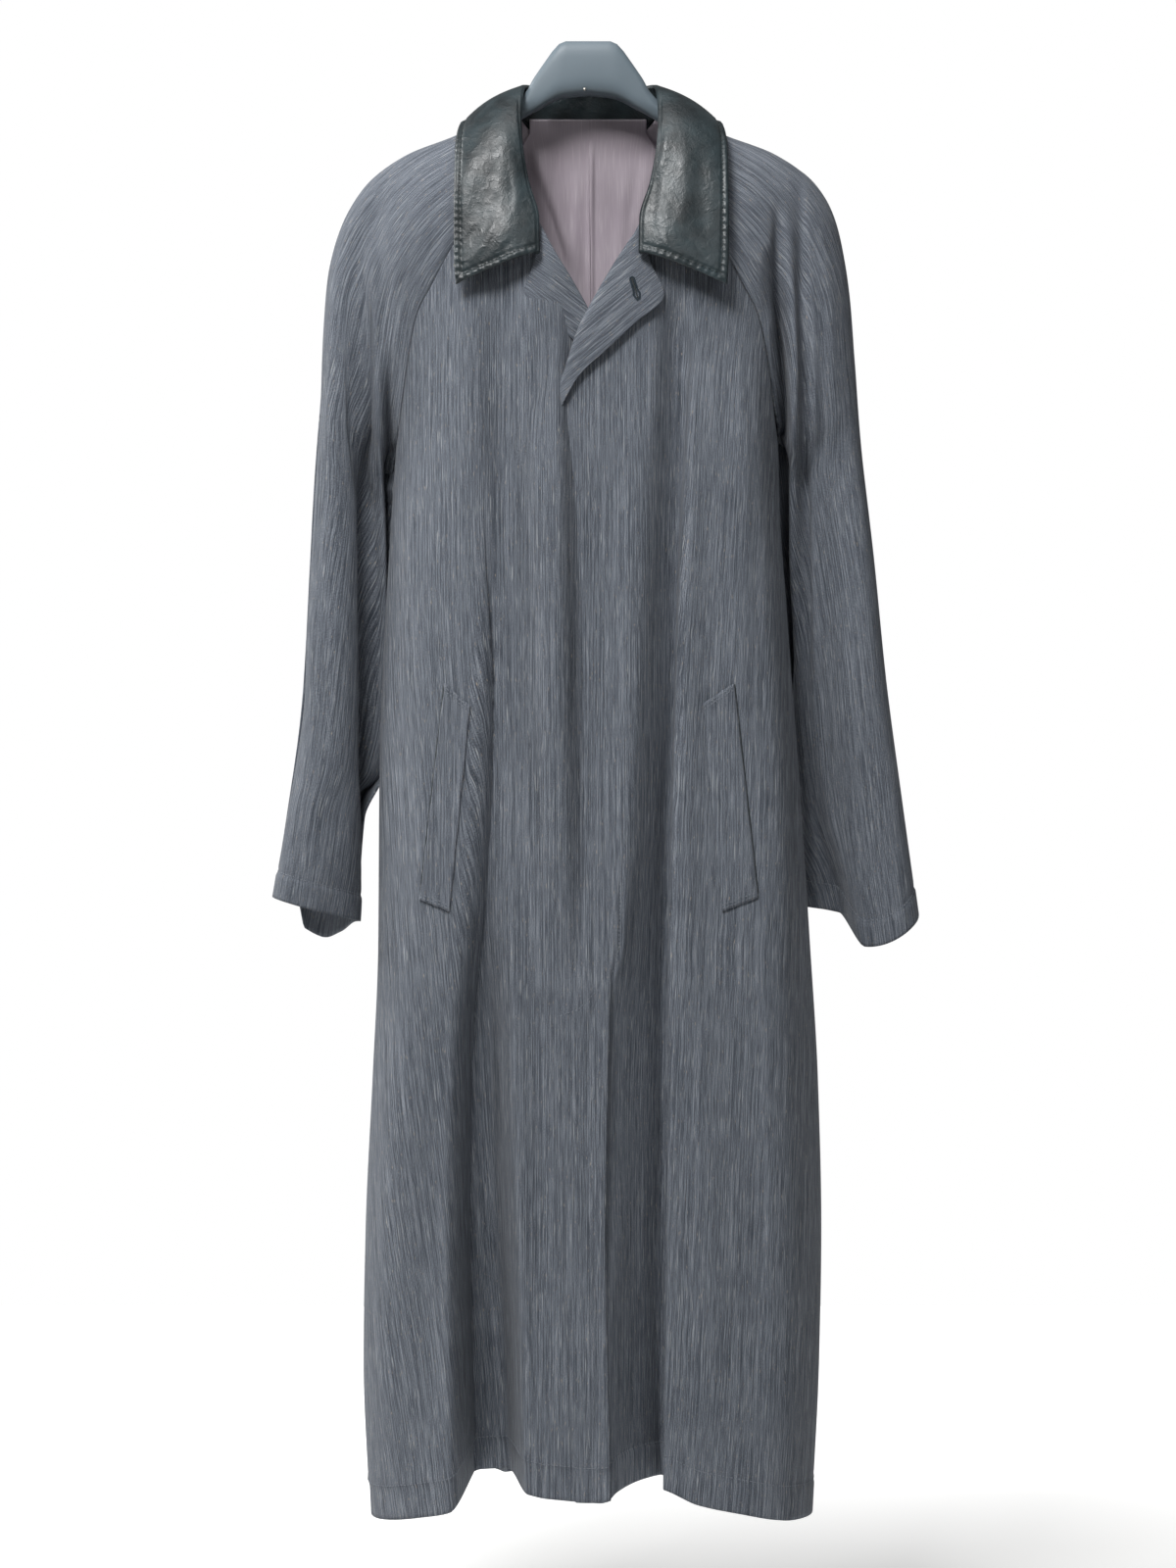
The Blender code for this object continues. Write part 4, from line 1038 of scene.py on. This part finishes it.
# columns as in FRONT_CREASES
LINING_FOLDS = (
    (-57, 74, -10, 205, 3, 6, 4.6, 0.4),
    (-34, 84, -26, 230, -2, 6, -1.4, 0.0),
    (-10, 95, -14, 250, 1, 5, 1.8, 0.2),
    (3, 40, 2, 300, 0, 2.2, 3.0, 0.0),
    (24, 110, 18, 240, 2, 8, -1.8, 0.1),
    (38, 90, 22, 260, -3, 8, 2.2, -0.3),
    (56, 84, 40, 170, 2, 6, 1.6, 0.0),
)
points = pressed(back_grid, np.maximum(back_depth, 0.0) + WOOL + LAY)[:LINING_ROWS]
grain = back_grain[:LINING_ROWS]
sag = smoothstep((-points[..., 2] - SAG_FROM) / SAG_FADE)
points = pressed(points, sag * np.maximum(crease_depth(LINING_FOLDS, points), -RIDGE_LIMIT))
points[..., 0] *= 1.0 + TOP_SPREAD * (1.0 - smoothstep((-points[..., 2] - SPREAD_FROM) / SPREAD_FADE))
rise = np.linspace(1.0, 0.0, STAND_ROWS, endpoint=False)[:, None, None]
top = points[:1] + rise * np.array([0.0, -STAND_LEAN, STAND_FACED])
grain = np.concatenate([grain[:1] + top[..., ::2] - points[:1, :, ::2], grain])
points = np.concatenate([top, points])
middle = BACK_CELLS // 2
for side, columns in (("left", slice(0, middle + 1)), ("right", slice(middle, None))):
    name = "lining_" + side
    sheet(name + "_satin", points[:, columns], grain[:, columns], SATIN, satin, name)

# %% [markdown]
# The lapels are the tops of the fronts, turned back along the roll line. Each sheet starts inside the edge,
# rolls over it in a half circle and lies on the front, lifting towards its point. Turning back mirrors
# the grain in the roll line, so its yarns run slanting.

# %% Lapels
LAPEL_ROWS = 66
LAPEL_CELLS = 30
ROLL_CELLS = 8
# share, roll line x and drop, edge x and drop, lift of the edge
LAPELS = {
    "left": ((0.00, 45, 178, 49, 184, 0.5), (0.12, 40, 187, 55, 208, 1), (0.28, 29, 206, 67, 237, 3),
             (0.45, 11, 238, 42, 262, 6), (0.62, -6, 271, 16, 286, 8), (0.80, -18, 305, -8, 309, 7),
             (1.00, -34, 346, -31, 351, 3)),
    "right": ((0.00, -41, 179, -44, 185, 0.5), (0.12, -37, 187, -48, 209, 1), (0.28, -28, 204, -56, 234, 2),
              (0.45, -14, 227, -36, 255, 3), (0.62, 0, 252, -17, 272, 2), (0.80, 15, 284, 6, 292, 0),
              (1.00, 33, 324, 30, 327, 0)),
}
LAPEL_LAY = {"left": 0.9, "right": 1.2}
ROLL_LIFT = {"left": 6.0, "right": 2.0}


def lapel_points(side):
    """Points of a turned-back lapel and their grain."""
    share = np.linspace(0.0, 1.0, LAPEL_ROWS + 1)
    roll_x, roll_drop, edge_x, edge_drop, lift = (value[:, None] for value in curve(LAPELS[side], share))
    across = np.linspace(0.0, 1.0, LAPEL_CELLS + 1)[None]
    x, drop = between(roll_x, edge_x, across), between(roll_drop, edge_drop, across)
    lying = front_face(side, x, drop)
    roll_lift = ROLL_LIFT[side] * np.sin(np.pi * share)[:, None]
    lying[..., 1] -= LAPEL_LAY[side] + WOOL + between(roll_lift, 0.5 * lift, smoothstep(across))
    radius = (LAPEL_LAY[side] + WOOL + roll_lift) / 2.0
    turn = np.pi * np.arange(ROLL_CELLS)[None] / ROLL_CELLS
    width = np.hypot(roll_x - edge_x, roll_drop - edge_drop)
    rolled = np.repeat(lying[:, :1], ROLL_CELLS, axis=1)
    rolled[..., 0] += radius * np.sin(turn) * (roll_x - edge_x) / width
    rolled[..., 1] += radius * (1.0 + np.cos(turn))
    rolled[..., 2] -= radius * np.sin(turn) * (roll_drop - edge_drop) / width
    points = np.concatenate([rolled, lying], axis=1)
    run, fall = roll_x[-1] - roll_x[0], roll_drop[-1] - roll_drop[0]
    tilt = 2.0 * np.arctan2(run, fall)
    along = points[..., 0] * np.sin(tilt) - points[..., 2] * np.cos(tilt)
    aside = points[..., 0] * np.cos(tilt) + points[..., 2] * np.sin(tilt)
    return points, np.stack([aside, along], -1)


for side in ("left", "right"):
    points, grain = lapel_points(side)
    if side == "right":
        points, grain = points[:, ::-1], grain[:, ::-1]
    sheet("lapel_" + side + "_cloth", points, grain, WOOL, wool, "lapel_" + side)

# %% [markdown]
# The pocket welts are narrow folded strips that lie slanting on the fronts. Each is made from the points of
# its front, moved out, and rounds down to the front at its border.

# %% Pocket welts
WELT_THICK = 1.6
WELT_EDGE = 2.0
WELT_ROWS = 130
WELT_CELLS = 22
SIGHT = 1000.0
trees = {}


def on_sheet(name, x, drop):
    """Points where lines of sight from the front meet a sheet."""
    if name not in trees:
        points = grids[name]
        number = np.arange(points[..., 0].size).reshape(points.shape[:2])
        corners = np.stack([number[:-1, :-1], number[1:, :-1], number[1:, 1:], number[:-1, 1:]], -1)
        trees[name] = BVHTree.FromPolygons(points.reshape(-1, 3).tolist(), corners.reshape(-1, 4).tolist())
    places = zip(x.ravel(), drop.ravel())
    hits = [trees[name].ray_cast((out, -SIGHT, -down), (0.0, 1.0, 0.0))[0] for out, down in places]
    return np.array(hits).reshape(x.shape + (3,))


def welt_place(side, across, down):
    """x and drop at a share of the way across and down a welt."""
    top_inner, top_outer, low_inner, low_outer = np.array(WELTS[side], float)
    top = between(top_inner, top_outer, across[..., None])
    low = between(low_inner, low_outer, across[..., None])
    place = between(top, low, down[..., None])
    return place[..., 0], place[..., 1]


for side in ("left", "right"):
    across, down = np.meshgrid(np.linspace(0.0, 1.0, WELT_CELLS + 1), np.linspace(0.0, 1.0, WELT_ROWS + 1))
    if side == "right":
        across = across[:, ::-1]
    x, drop = welt_place(side, across, down)
    points = on_sheet("front_" + side + "_cloth", x, drop)
    run, fall = lengths(points, 1), lengths(points, 0)
    border = np.minimum(np.minimum(run, run[:, -1:] - run), np.minimum(fall, fall[-1:] - fall))
    rounded = between(0.5, 1.0, smoothstep(0.5 + 0.5 * border / WELT_EDGE))
    points = pressed(points, -LAY - WELT_THICK * rounded)
    grain = np.stack([x, -drop], -1)
    sheet("pocket_welt_" + side + "_cloth", points, grain, WELT_THICK, wool, "pocket_welt_" + side)

# %% [markdown]
# The collar is one piece of leather: a stand rises from the neck seam, rolls over the fold and falls onto
# the shoulders to pointed ends. Each section across it is a straight stand, a half circle and a gently
# crowned fall, worked out for every place round the neck.

# %% Collar sections
LEATHER = 2.0
COLLAR_CELLS = 320
STAND_CELLS = 5
COLLAR_ROLL_CELLS = 10
FALL_CELLS = 54
# share from the centre back to the front end, x out, y, drop
COLLAR_FOLD = ((0.00, 0, 47, 37), (0.12, 33, 42, 36.5), (0.24, 53, 25, 35), (0.355, 62, -4, 40),
               (0.50, 63, -32, 66), (0.63, 61, -48, 98), (0.76, 55, -57, 136), (0.89, 46, -68, 171),
               (1.00, 45.5, -74, 201))
COLLAR_EDGE = ((0.00, 0, 68, 110), (0.12, 55, 63, 104), (0.24, 97, 38, 88), (0.355, 116, 0, 75),
               (0.50, 120, -43, 106), (0.63, 120, -62, 148), (0.76, 120, -67, 182), (0.89, 119.5, -72, 210),
               (1.00, 118, -74, 229))
COLLAR_STRETCH = {"left": 1.03, "right": 0.98}
COLLAR_CROWN = 5.0
COLLAR_ROLL = 2.7
GORGE_END = (60.0, -65.0, -194.0)
STAND_RISE = 1.0
STAND_INSET = 2.0
STAND_FADE = 0.4
RUN_STEP = 0.02
NECK_SAMPLES = 40


def along_line(values, run, spots):
    """Values at distances along a line."""
    return np.stack([np.interp(spots, run, column) for column in values.T], -1)


def neck_seam(side):
    """Points of the neck edge from the centre back to the front end."""
    share = np.linspace(0.0, 1.0, NECK_SAMPLES)
    seam_angle, seam_drop = raglan(RAGLAN_BACK, np.zeros(NECK_SAMPLES))
    path = [ring(SIGN[side] * between(180.0, seam_angle, share), seam_drop)]
    path.append(sleeve_points(side, "back", 0.0 * share, 1.0 - share))
    path.append(sleeve_points(side, "front", 0.0 * share, share))
    drop, x = np.array(EDGES[side][:3], float).T
    path.append(front_face(side, x, drop))
    path.append([(SIGN[side] * GORGE_END[0], GORGE_END[1], GORGE_END[2])])
    return np.vstack(path)


def collar_line(rows, share, side):
    """Points of one of the collar's lines."""
    out, y, drop = curve(rows, share)
    return np.stack([SIGN[side] * out * COLLAR_STRETCH[side], y, -drop], -1)


def collar_half(side, share):
    """Points across one half of the collar: up the stand, over the fold and down the fall."""
    top, edge = collar_line(COLLAR_FOLD, share, side), collar_line(COLLAR_EDGE, share, side)
    outward = unit((edge - top) * LEVEL)
    path = neck_seam(side)
    run = lengths(path, 0)
    seam = along_line(path, run, share * run[-1])
    inset = STAND_INSET * smoothstep((1.0 - share) / STAND_FADE)[:, None]
    seam = seam + unit(top - seam) * STAND_RISE - outward * inset
    ahead, behind = np.minimum(share + RUN_STEP, 1.0), np.maximum(share - RUN_STEP, 0.0)
    along = sum(collar_line(rows, ahead, side) - collar_line(rows, behind, side)
                for rows in (COLLAR_FOLD, COLLAR_EDGE))
    crown = unit(np.cross(edge - top, along)) * -SIGN[side]
    upward = unit(top - edge)
    turn = np.pi * (1.0 - np.linspace(0.0, 1.0, COLLAR_ROLL_CELLS + 1))[:, None, None]
    roll = top - crown * COLLAR_ROLL * (1.0 - np.cos(turn)) + upward * COLLAR_ROLL * np.sin(turn)
    rise = (np.arange(STAND_CELLS) / STAND_CELLS)[:, None, None]
    down = (np.arange(1, FALL_CELLS + 1) / FALL_CELLS)[:, None, None]
    bulge = COLLAR_CROWN * (1.0 - (2.0 * down - 1.0) ** 2)
    return np.concatenate([between(seam, roll[0], rise), roll, between(top, edge, down) + crown * bulge])


half_cells = COLLAR_CELLS // 2
left = collar_half("left", np.arange(half_cells, 0, -1) / half_cells)
right = collar_half("right", np.arange(half_cells + 1) / half_cells)
collar_points = np.concatenate([left, right], axis=1)
print("Collar", round(lengths(collar_points, 1)[-1, -1]), "mm along its outer edge")

# %% [markdown]
# Leather takes the shape of its sewing. A row of stitches runs seven millimetres inside the edge and pulls
# a groove, and the narrow band outside it puckers between the stitches. Where the leaves bend, the skin
# crinkles: those soft ridges are listed one by one, like the creases of the cloth.

# %% Collar: sewing and crinkles
STITCH_IN = 7.0
STITCH_GROOVE, STITCH_WIDTH = 1.0, 1.5
EDGE_SWELL, SWELL_PLACE, SWELL_WIDTH = 0.9, 0.45, 2.4
PUCKER = 0.45
PUCKER_PITCH = 6.4
PUCKER_WANDER, WANDER_LENGTH = 1.6, 19.0
PUCKER_START, PUCKER_PAST, PUCKER_FADE = 2.0, 5.0, 8.0
# columns as in FRONT_CREASES
COLLAR_CREASES = (
    (-72, 40, -68, 240, 0, 22, -4.0, 0.0),
    (72, 40, 68, 240, 0, 22, -4.0, 0.0),
    (-80, 172, -108, 214, 3, 4, -0.9, 0.2),
    (-92, 176, -114, 204, -2, 3, 0.7, 0.0),
    (-62, 182, -92, 216, 3, 4, 0.8, 0.1),
    (-48, 190, -78, 212, 2, 3, -0.8, 0.0),
    (-70, 110, -64, 175, 4, 5, -0.9, 0.3),
    (-96, 96, -106, 190, -5, 9, -1.2, 0.0),
    (-84, 84, -88, 150, 4, 6, 0.8, 0.0),
    (70, 88, 58, 140, 3, 4, -1.1, 0.2),
    (64, 120, 56, 190, -2, 4, 0.9, 0.0),
    (84, 92, 78, 190, 5, 7, -1.1, 0.1),
    (102, 100, 104, 205, -4, 7, 0.9, 0.0),
    (62, 184, 88, 212, -3, 3, -0.8, 0.1),
    (78, 182, 108, 214, 3, 4, 0.8, 0.0),
)
run, fall = lengths(collar_points, 1), lengths(collar_points, 0)
from_edge, from_end = fall[-1:] - fall, np.minimum(run, run[:, -1:] - run)
border = np.minimum(from_edge, from_end)
along = np.where(from_edge < from_end, run, fall)
fallen = (np.arange(len(collar_points)) > STAND_CELLS + COLLAR_ROLL_CELLS)[:, None]
depth = STITCH_GROOVE * np.exp(-((border - STITCH_IN) / STITCH_WIDTH) ** 2)
depth -= EDGE_SWELL * np.exp(-((border - SWELL_PLACE * STITCH_IN) / SWELL_WIDTH) ** 2)
wander = PUCKER_WANDER * np.sin(along / WANDER_LENGTH)
wave = np.sin(2.0 * np.pi * along / PUCKER_PITCH + wander) * smoothstep(border / PUCKER_START)
depth += PUCKER * wave * smoothstep((STITCH_IN + PUCKER_PAST - border) / PUCKER_FADE)
depth += crease_depth(COLLAR_CREASES, collar_points) * (collar_points[..., 1] < 0.0)
collar_points = pressed(collar_points, depth * fallen)
grain = np.stack([run, -fall], -1)
sheet("collar_leather", collar_points, grain, LEATHER, leather, "collar")

# %% [markdown]
# The hanger is one moulded bar: a broad head with a flat top and an arched underside, and two arms that fill
# the shoulders. A grid wound round the bar makes it, with its first and last rows merged and its ends filled.

# %% Hanger
HANGER_CELLS = 190
HANGER_SIDES = 40
HANGER_REACH = 190.0
HANGER_END = 9.0
HANGER_SEAT = 3.4
SHOULDER_END = 5.0
SHOULDER_SAMPLES = 60
HEAD_CLEAR = 1.0
TIP_EASE, TIP_HEIGHT, TIP_HALF = 0.12, 0.45, 0.5
HEAD_SQUARE, ARM_POINTED = 0.55, 1.3
ARM_START, ARM_BLEND = 40.0, 25.0
# x, underside drop, half thickness
HANGER_FORM = ((0, 47.5, 13), (22, 50, 13), (45, 61, 10), (62, 71, 7.5), (100, 98, 7.5), (150, 122, 8.5),
               (190, 146, 9.5))
# x, top drop, y of the head
HANGER_HEAD = ((0, 0, 0), (20, 0, 0), (26, 2.5, 0), (32, 9, 0), (49, 33, 0), (55, 44, 0), (62, 51.5, 0))
MERGED = 0.01


def hanger_half(side, x):
    """Loops round one half of the hanger at distances from its middle."""
    station = np.linspace(0.0, SHOULDER_END, SHOULDER_SAMPLES)
    seam = sleeve_points(side, "front", station, 0.0 * station)
    reach, drop = np.abs(seam[:, 0]), HANGER_SEAT - seam[:, 2]
    head = np.array(HANGER_HEAD, float)
    kept = reach > head[-1, 0] + HEAD_CLEAR
    outline = np.vstack([head, np.stack([reach, drop, seam[:, 1]], -1)[kept]])
    upper = np.interp(x, outline[:, 0], outline[:, 1])
    centre = np.interp(x, outline[:, 0], outline[:, 2])
    under, half = curve(HANGER_FORM, x)
    end = smoothstep((HANGER_REACH - x) / HANGER_END + TIP_EASE)
    height = (under - upper) / 2.0 * between(TIP_HEIGHT, 1.0, end)
    middle = between(upper + height, (upper + under) / 2.0, end)
    arm = smoothstep((x - ARM_START) / ARM_BLEND)
    turn = 2.0 * np.pi * np.linspace(0.0, 1.0, HANGER_SIDES + 1)[:, None]
    aside = np.sign(np.sin(turn)) * np.abs(np.sin(turn)) ** between(HEAD_SQUARE, 1.0, arm)
    rise = np.sign(np.cos(turn)) * np.abs(np.cos(turn)) ** between(HEAD_SQUARE, ARM_POINTED, arm)
    y = centre + half * between(TIP_HALF, 1.0, end) * aside
    return np.stack([SIGN[side] * x + 0.0 * turn, y, height * rise - middle], -1)


x = np.linspace(0.0, HANGER_REACH, HANGER_CELLS // 2 + 1)
points = np.concatenate([hanger_half("right", x)[:, :0:-1], hanger_half("left", x)], axis=1)
shape = bmesh.new()
bmesh.ops.create_grid(shape, x_segments=points.shape[1] - 1, y_segments=HANGER_SIDES, size=0.5)
for vertex in shape.verts:
    column = round((vertex.co.x + 0.5) * (points.shape[1] - 1))
    row = round((vertex.co.y + 0.5) * HANGER_SIDES)
    vertex.co = points[row, column] * MM
bmesh.ops.remove_doubles(shape, verts=shape.verts, dist=MERGED * MM)
bmesh.ops.holes_fill(shape, edges=[edge for edge in shape.edges if edge.is_boundary], sides=0)
bmesh.ops.recalc_face_normals(shape, faces=shape.faces)
own("hanger_moulding", baked("hanger_moulding", shape), plastic, "hanger")
print("Hanger", 2 * HANGER_REACH, "mm wide")

# %% [markdown]
# A small pin closes the moulding at the top of the arch. It is zinc plated steel: a bright grey metal, dulled
# by fine scratches. A flattened ball is enough for it, because it is only three millimetres wide.

# %% Pin
PIN = (-3.0, -13.0, -45.0)
PIN_SIZE = (1.5, 0.9, 1.5)
SCRATCH = 1.0
steel = clouded("zinc plated steel", "#8C8A86", "#B8B4AC", SCRATCH, detail=2.0, Metallic=1.0,
                Roughness=0.4)[0]
shape = bmesh.new()
bmesh.ops.create_uvsphere(shape, u_segments=12, v_segments=6, radius=MM)
bmesh.ops.scale(shape, vec=PIN_SIZE, verts=shape.verts)
bmesh.ops.translate(shape, vec=[value * MM for value in PIN], verts=shape.verts)
own("hanger_pin", baked("hanger_pin", shape), steel, None)
print("Pin", 2 * PIN_SIZE[0], "mm wide")

# %% [markdown]
# The sewing itself is small: each stitch is a short lozenge of thread, stretched from a ball of a few faces
# and laid on the cloth. Rows of them hold the hems, the cuffs, the collar's edge, the ends of the welts and
# the foot of the hidden fly. A row follows its sheet's own grid at a fixed height above an edge.

# %% Stitches
STITCH = 2.6
STITCH_PITCH = 3.6
THREAD = 0.42
SUNK = 0.25
STITCH_SIDES, STITCH_RINGS = 6, 4
SLOPE_SHARE = 0.4


def above_edge(points, height):
    """A line at a height above a grid's last row, with its outward directions."""
    rise = lengths(points, 0)[-1] - lengths(points, 0)
    columns = range(points.shape[1])
    return [np.array([along_line(values[:, column], -rise[:, column], -height) for column in columns])
            for values in (points, facing(points))]


def sew(name, lines, thread, slot, length=STITCH, pitch=STITCH_PITCH, radius=THREAD):
    """One piece with a row of stitches along every line."""
    shape = bmesh.new()
    for points, outward in lines:
        run = lengths(points, 0)
        for start in np.arange(0.5 * pitch, run[-1] - 0.5 * pitch, pitch):
            reach = SLOPE_SHARE * length
            before, centre, after = along_line(points, run, (start - reach, start, start + reach))
            out = unit(along_line(outward, run, start))
            ahead = unit(after - before)
            aside = unit(np.cross(out, ahead))
            up = np.cross(ahead, aside)
            matrix = Matrix.Identity(4)
            for column, axis in enumerate((ahead * 0.5 * length, aside * radius, up * radius,
                                           centre + out * (radius - SUNK))):
                matrix.col[column][:3] = axis * MM
            bmesh.ops.create_uvsphere(shape, u_segments=STITCH_SIDES, v_segments=STITCH_RINGS, radius=1.0,
                                      matrix=matrix)
    bmesh.ops.recalc_face_normals(shape, faces=shape.faces)
    mesh = baked(name, shape)
    print(name, "has", len(mesh.polygons) // (STITCH_SIDES * STITCH_RINGS), "stitches")
    own(name, mesh, thread, None)


for name in ("front_left", "front_right", "back"):
    sew("stitching_hem_" + name, [above_edge(grids[name + "_cloth"], HEM_DEPTH)], threads["wool"], "wool")
for side in ("left", "right"):
    halves = [grids["sleeve_" + side + "_" + half + "_cloth"] for half in ("front", "back")]
    cuffs = [above_edge(points, CUFF_DEPTH) for points in halves]
    sew("stitching_cuff_" + side, cuffs, threads["wool"], "wool")

# %% [markdown]
# The collar's stitches follow its border at the depth of the groove. At the front ends the row runs along
# the grid's columns instead, so the same helper works on the grid turned on its side.

# %% Stitches on the collar
FOLD_CLEAR = 4
fall_points = grids["collar_leather"][STAND_CELLS + COLLAR_ROLL_CELLS + FOLD_CLEAR:]
points, outward = above_edge(fall_points, STITCH_IN)
margin = lengths(points, 0)
inside = (margin > STITCH_IN) & (margin < margin[-1] - STITCH_IN)
lines = [(points[inside], outward[inside])]
for turned in (fall_points, fall_points[:, ::-1]):
    points, outward = above_edge(turned.transpose(1, 0, 2), STITCH_IN)
    outward = outward * np.sign(-outward[:, 1:2])
    margin = lengths(points, 0)
    inside = margin < margin[-1] - STITCH_IN
    lines.append((points[inside], outward[inside]))
sew("stitching_collar", lines, threads["leather"], "leather")

# %% [markdown]
# Each welt has two short rows of stitches at both ends. Along its outer edge the shade in the pocket's mouth
# is
# painted shadow: long near-black stitches that overlap draw it as a dark line. The foot of the fly has one
# curved row.

# %% Stitches on welts and fly
WELT_ROWS_IN = (2.5, 5.5)
MOUTH_SHARE = 1.02
MOUTH_ENDS = (0.01, 0.99)
MOUTH_SAMPLES = 80
# length, pitch, radius of the long stitches that paint the mouth's shadow
MOUTH_SHADOW_STITCH = (9.0, 6.3, 0.7)


def seen_line(name, x, drop):
    """A line on a sheet, with directions towards the front."""
    points = on_sheet(name, x, drop)
    return points, np.zeros_like(points) + (0.0, -1.0, 0.0)


for side in ("left", "right"):
    welt = grids["pocket_welt_" + side + "_cloth"]
    lines = []
    for turned in (welt, welt[::-1]):
        for height in WELT_ROWS_IN:
            points, outward = above_edge(turned, height)
            lines.append((points, outward * np.sign(-outward[:, 1:2])))
    sew("stitching_welt_" + side, lines, threads["wool"], "wool")
    down = np.linspace(*MOUTH_ENDS, MOUTH_SAMPLES)
    x, drop = welt_place(side, np.full(MOUTH_SAMPLES, MOUTH_SHARE), down)
    mouth = seen_line("front_" + side + "_cloth", x, drop)
    # painted shadow: near-black thread where the pocket's mouth is only in shade
    sew("pocket_mouth_painted_shadow_" + side, [mouth], threads["leather"], "wool", *MOUTH_SHADOW_STITCH)
path = np.array(FLY_SEWING, float)
run = lengths(path, 0)
x, drop = along_line(path, run, np.arange(0.0, run[-1] - STITCH_PITCH, 1.0)).T
sew("stitching_fly", [seen_line("front_left_cloth", x, drop)], threads["wool"], "wool")

# %% [markdown]
# The buttonhole in the left lapel is a keyhole: a straight slit that ends in a round eye. Its edge is covered
# with tight cross stitches of navy twist, laid outwards all round. The shade in the slit between them is
# painted shade: a row of near-black stitches.

# %% Buttonhole
SLIT_TOP, SLIT_END = np.array((38.5, 223.5)), np.array((43.7, 240.5))
SLIT_HALF, EYE_HALF = 0.8, 1.9
EYE_SHARE, EYE_SPREAD = 0.78, 0.12
TWIST = 2.3
TWIST_PITCH = 0.85
END_TWISTS = 7
SLIT_SAMPLES = 12
# length, pitch, radius of the stitches
TWIST_STITCH = (TWIST, 0.8 * TWIST, 0.4)
SLIT_SHADE_STITCH = (3.0, 1.6, 0.7)
axis = unit(SLIT_END - SLIT_TOP)
across = np.array((axis[1], -axis[0]))
lines = []
for share in np.arange(0.0, 1.0, TWIST_PITCH / np.linalg.norm(SLIT_END - SLIT_TOP)):
    eye = math.exp(-((share - EYE_SHARE) / EYE_SPREAD) ** 2)
    half = between(SLIT_HALF, EYE_HALF, eye)
    for out in (-across, across):
        near = between(SLIT_TOP, SLIT_END, share) + out * half
        lines.append(seen_line("lapel_left_cloth", *np.array((near, near + out * TWIST)).T))
for turn in np.linspace(0.0, np.pi, END_TWISTS):
    for end, onward in ((SLIT_TOP, -axis), (SLIT_END, axis)):
        out = across * math.cos(turn) + onward * math.sin(turn)
        near = end + out * SLIT_HALF
        lines.append(seen_line("lapel_left_cloth", *np.array((near, near + out * TWIST)).T))
sew("buttonhole_twist", lines, threads["buttonhole"], "wool", *TWIST_STITCH)
slit = between(SLIT_TOP, SLIT_END, np.linspace(0.0, 1.0, SLIT_SAMPLES)[:, None])
# painted shade: near-black stitches stand for the shadow inside the slit
sew("buttonhole_slit_painted_shade", [seen_line("lapel_left_cloth", *slit.T)], threads["leather"], "wool", *SLIT_SHADE_STITCH)

# %% [markdown]
# Cloth keeps its area when it is hung. Turned-up hems and seam allowances lie inside, where they don't show,
# and are left out.

# %% [markdown]
# The sheets fold more deeply than the solids, but should stay within a few millimetres of their outer box.
# The two boxes show whether the dressed coat has kept the size of the imported one.

# %% Sizes
visual_box = [list(corner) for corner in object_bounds()]
for name, box in (("Packed", cad_box), ("Dressed", visual_box)):
    print(name, "box:", [round((high - low) / MM) for low, high in zip(*box)], "mm")
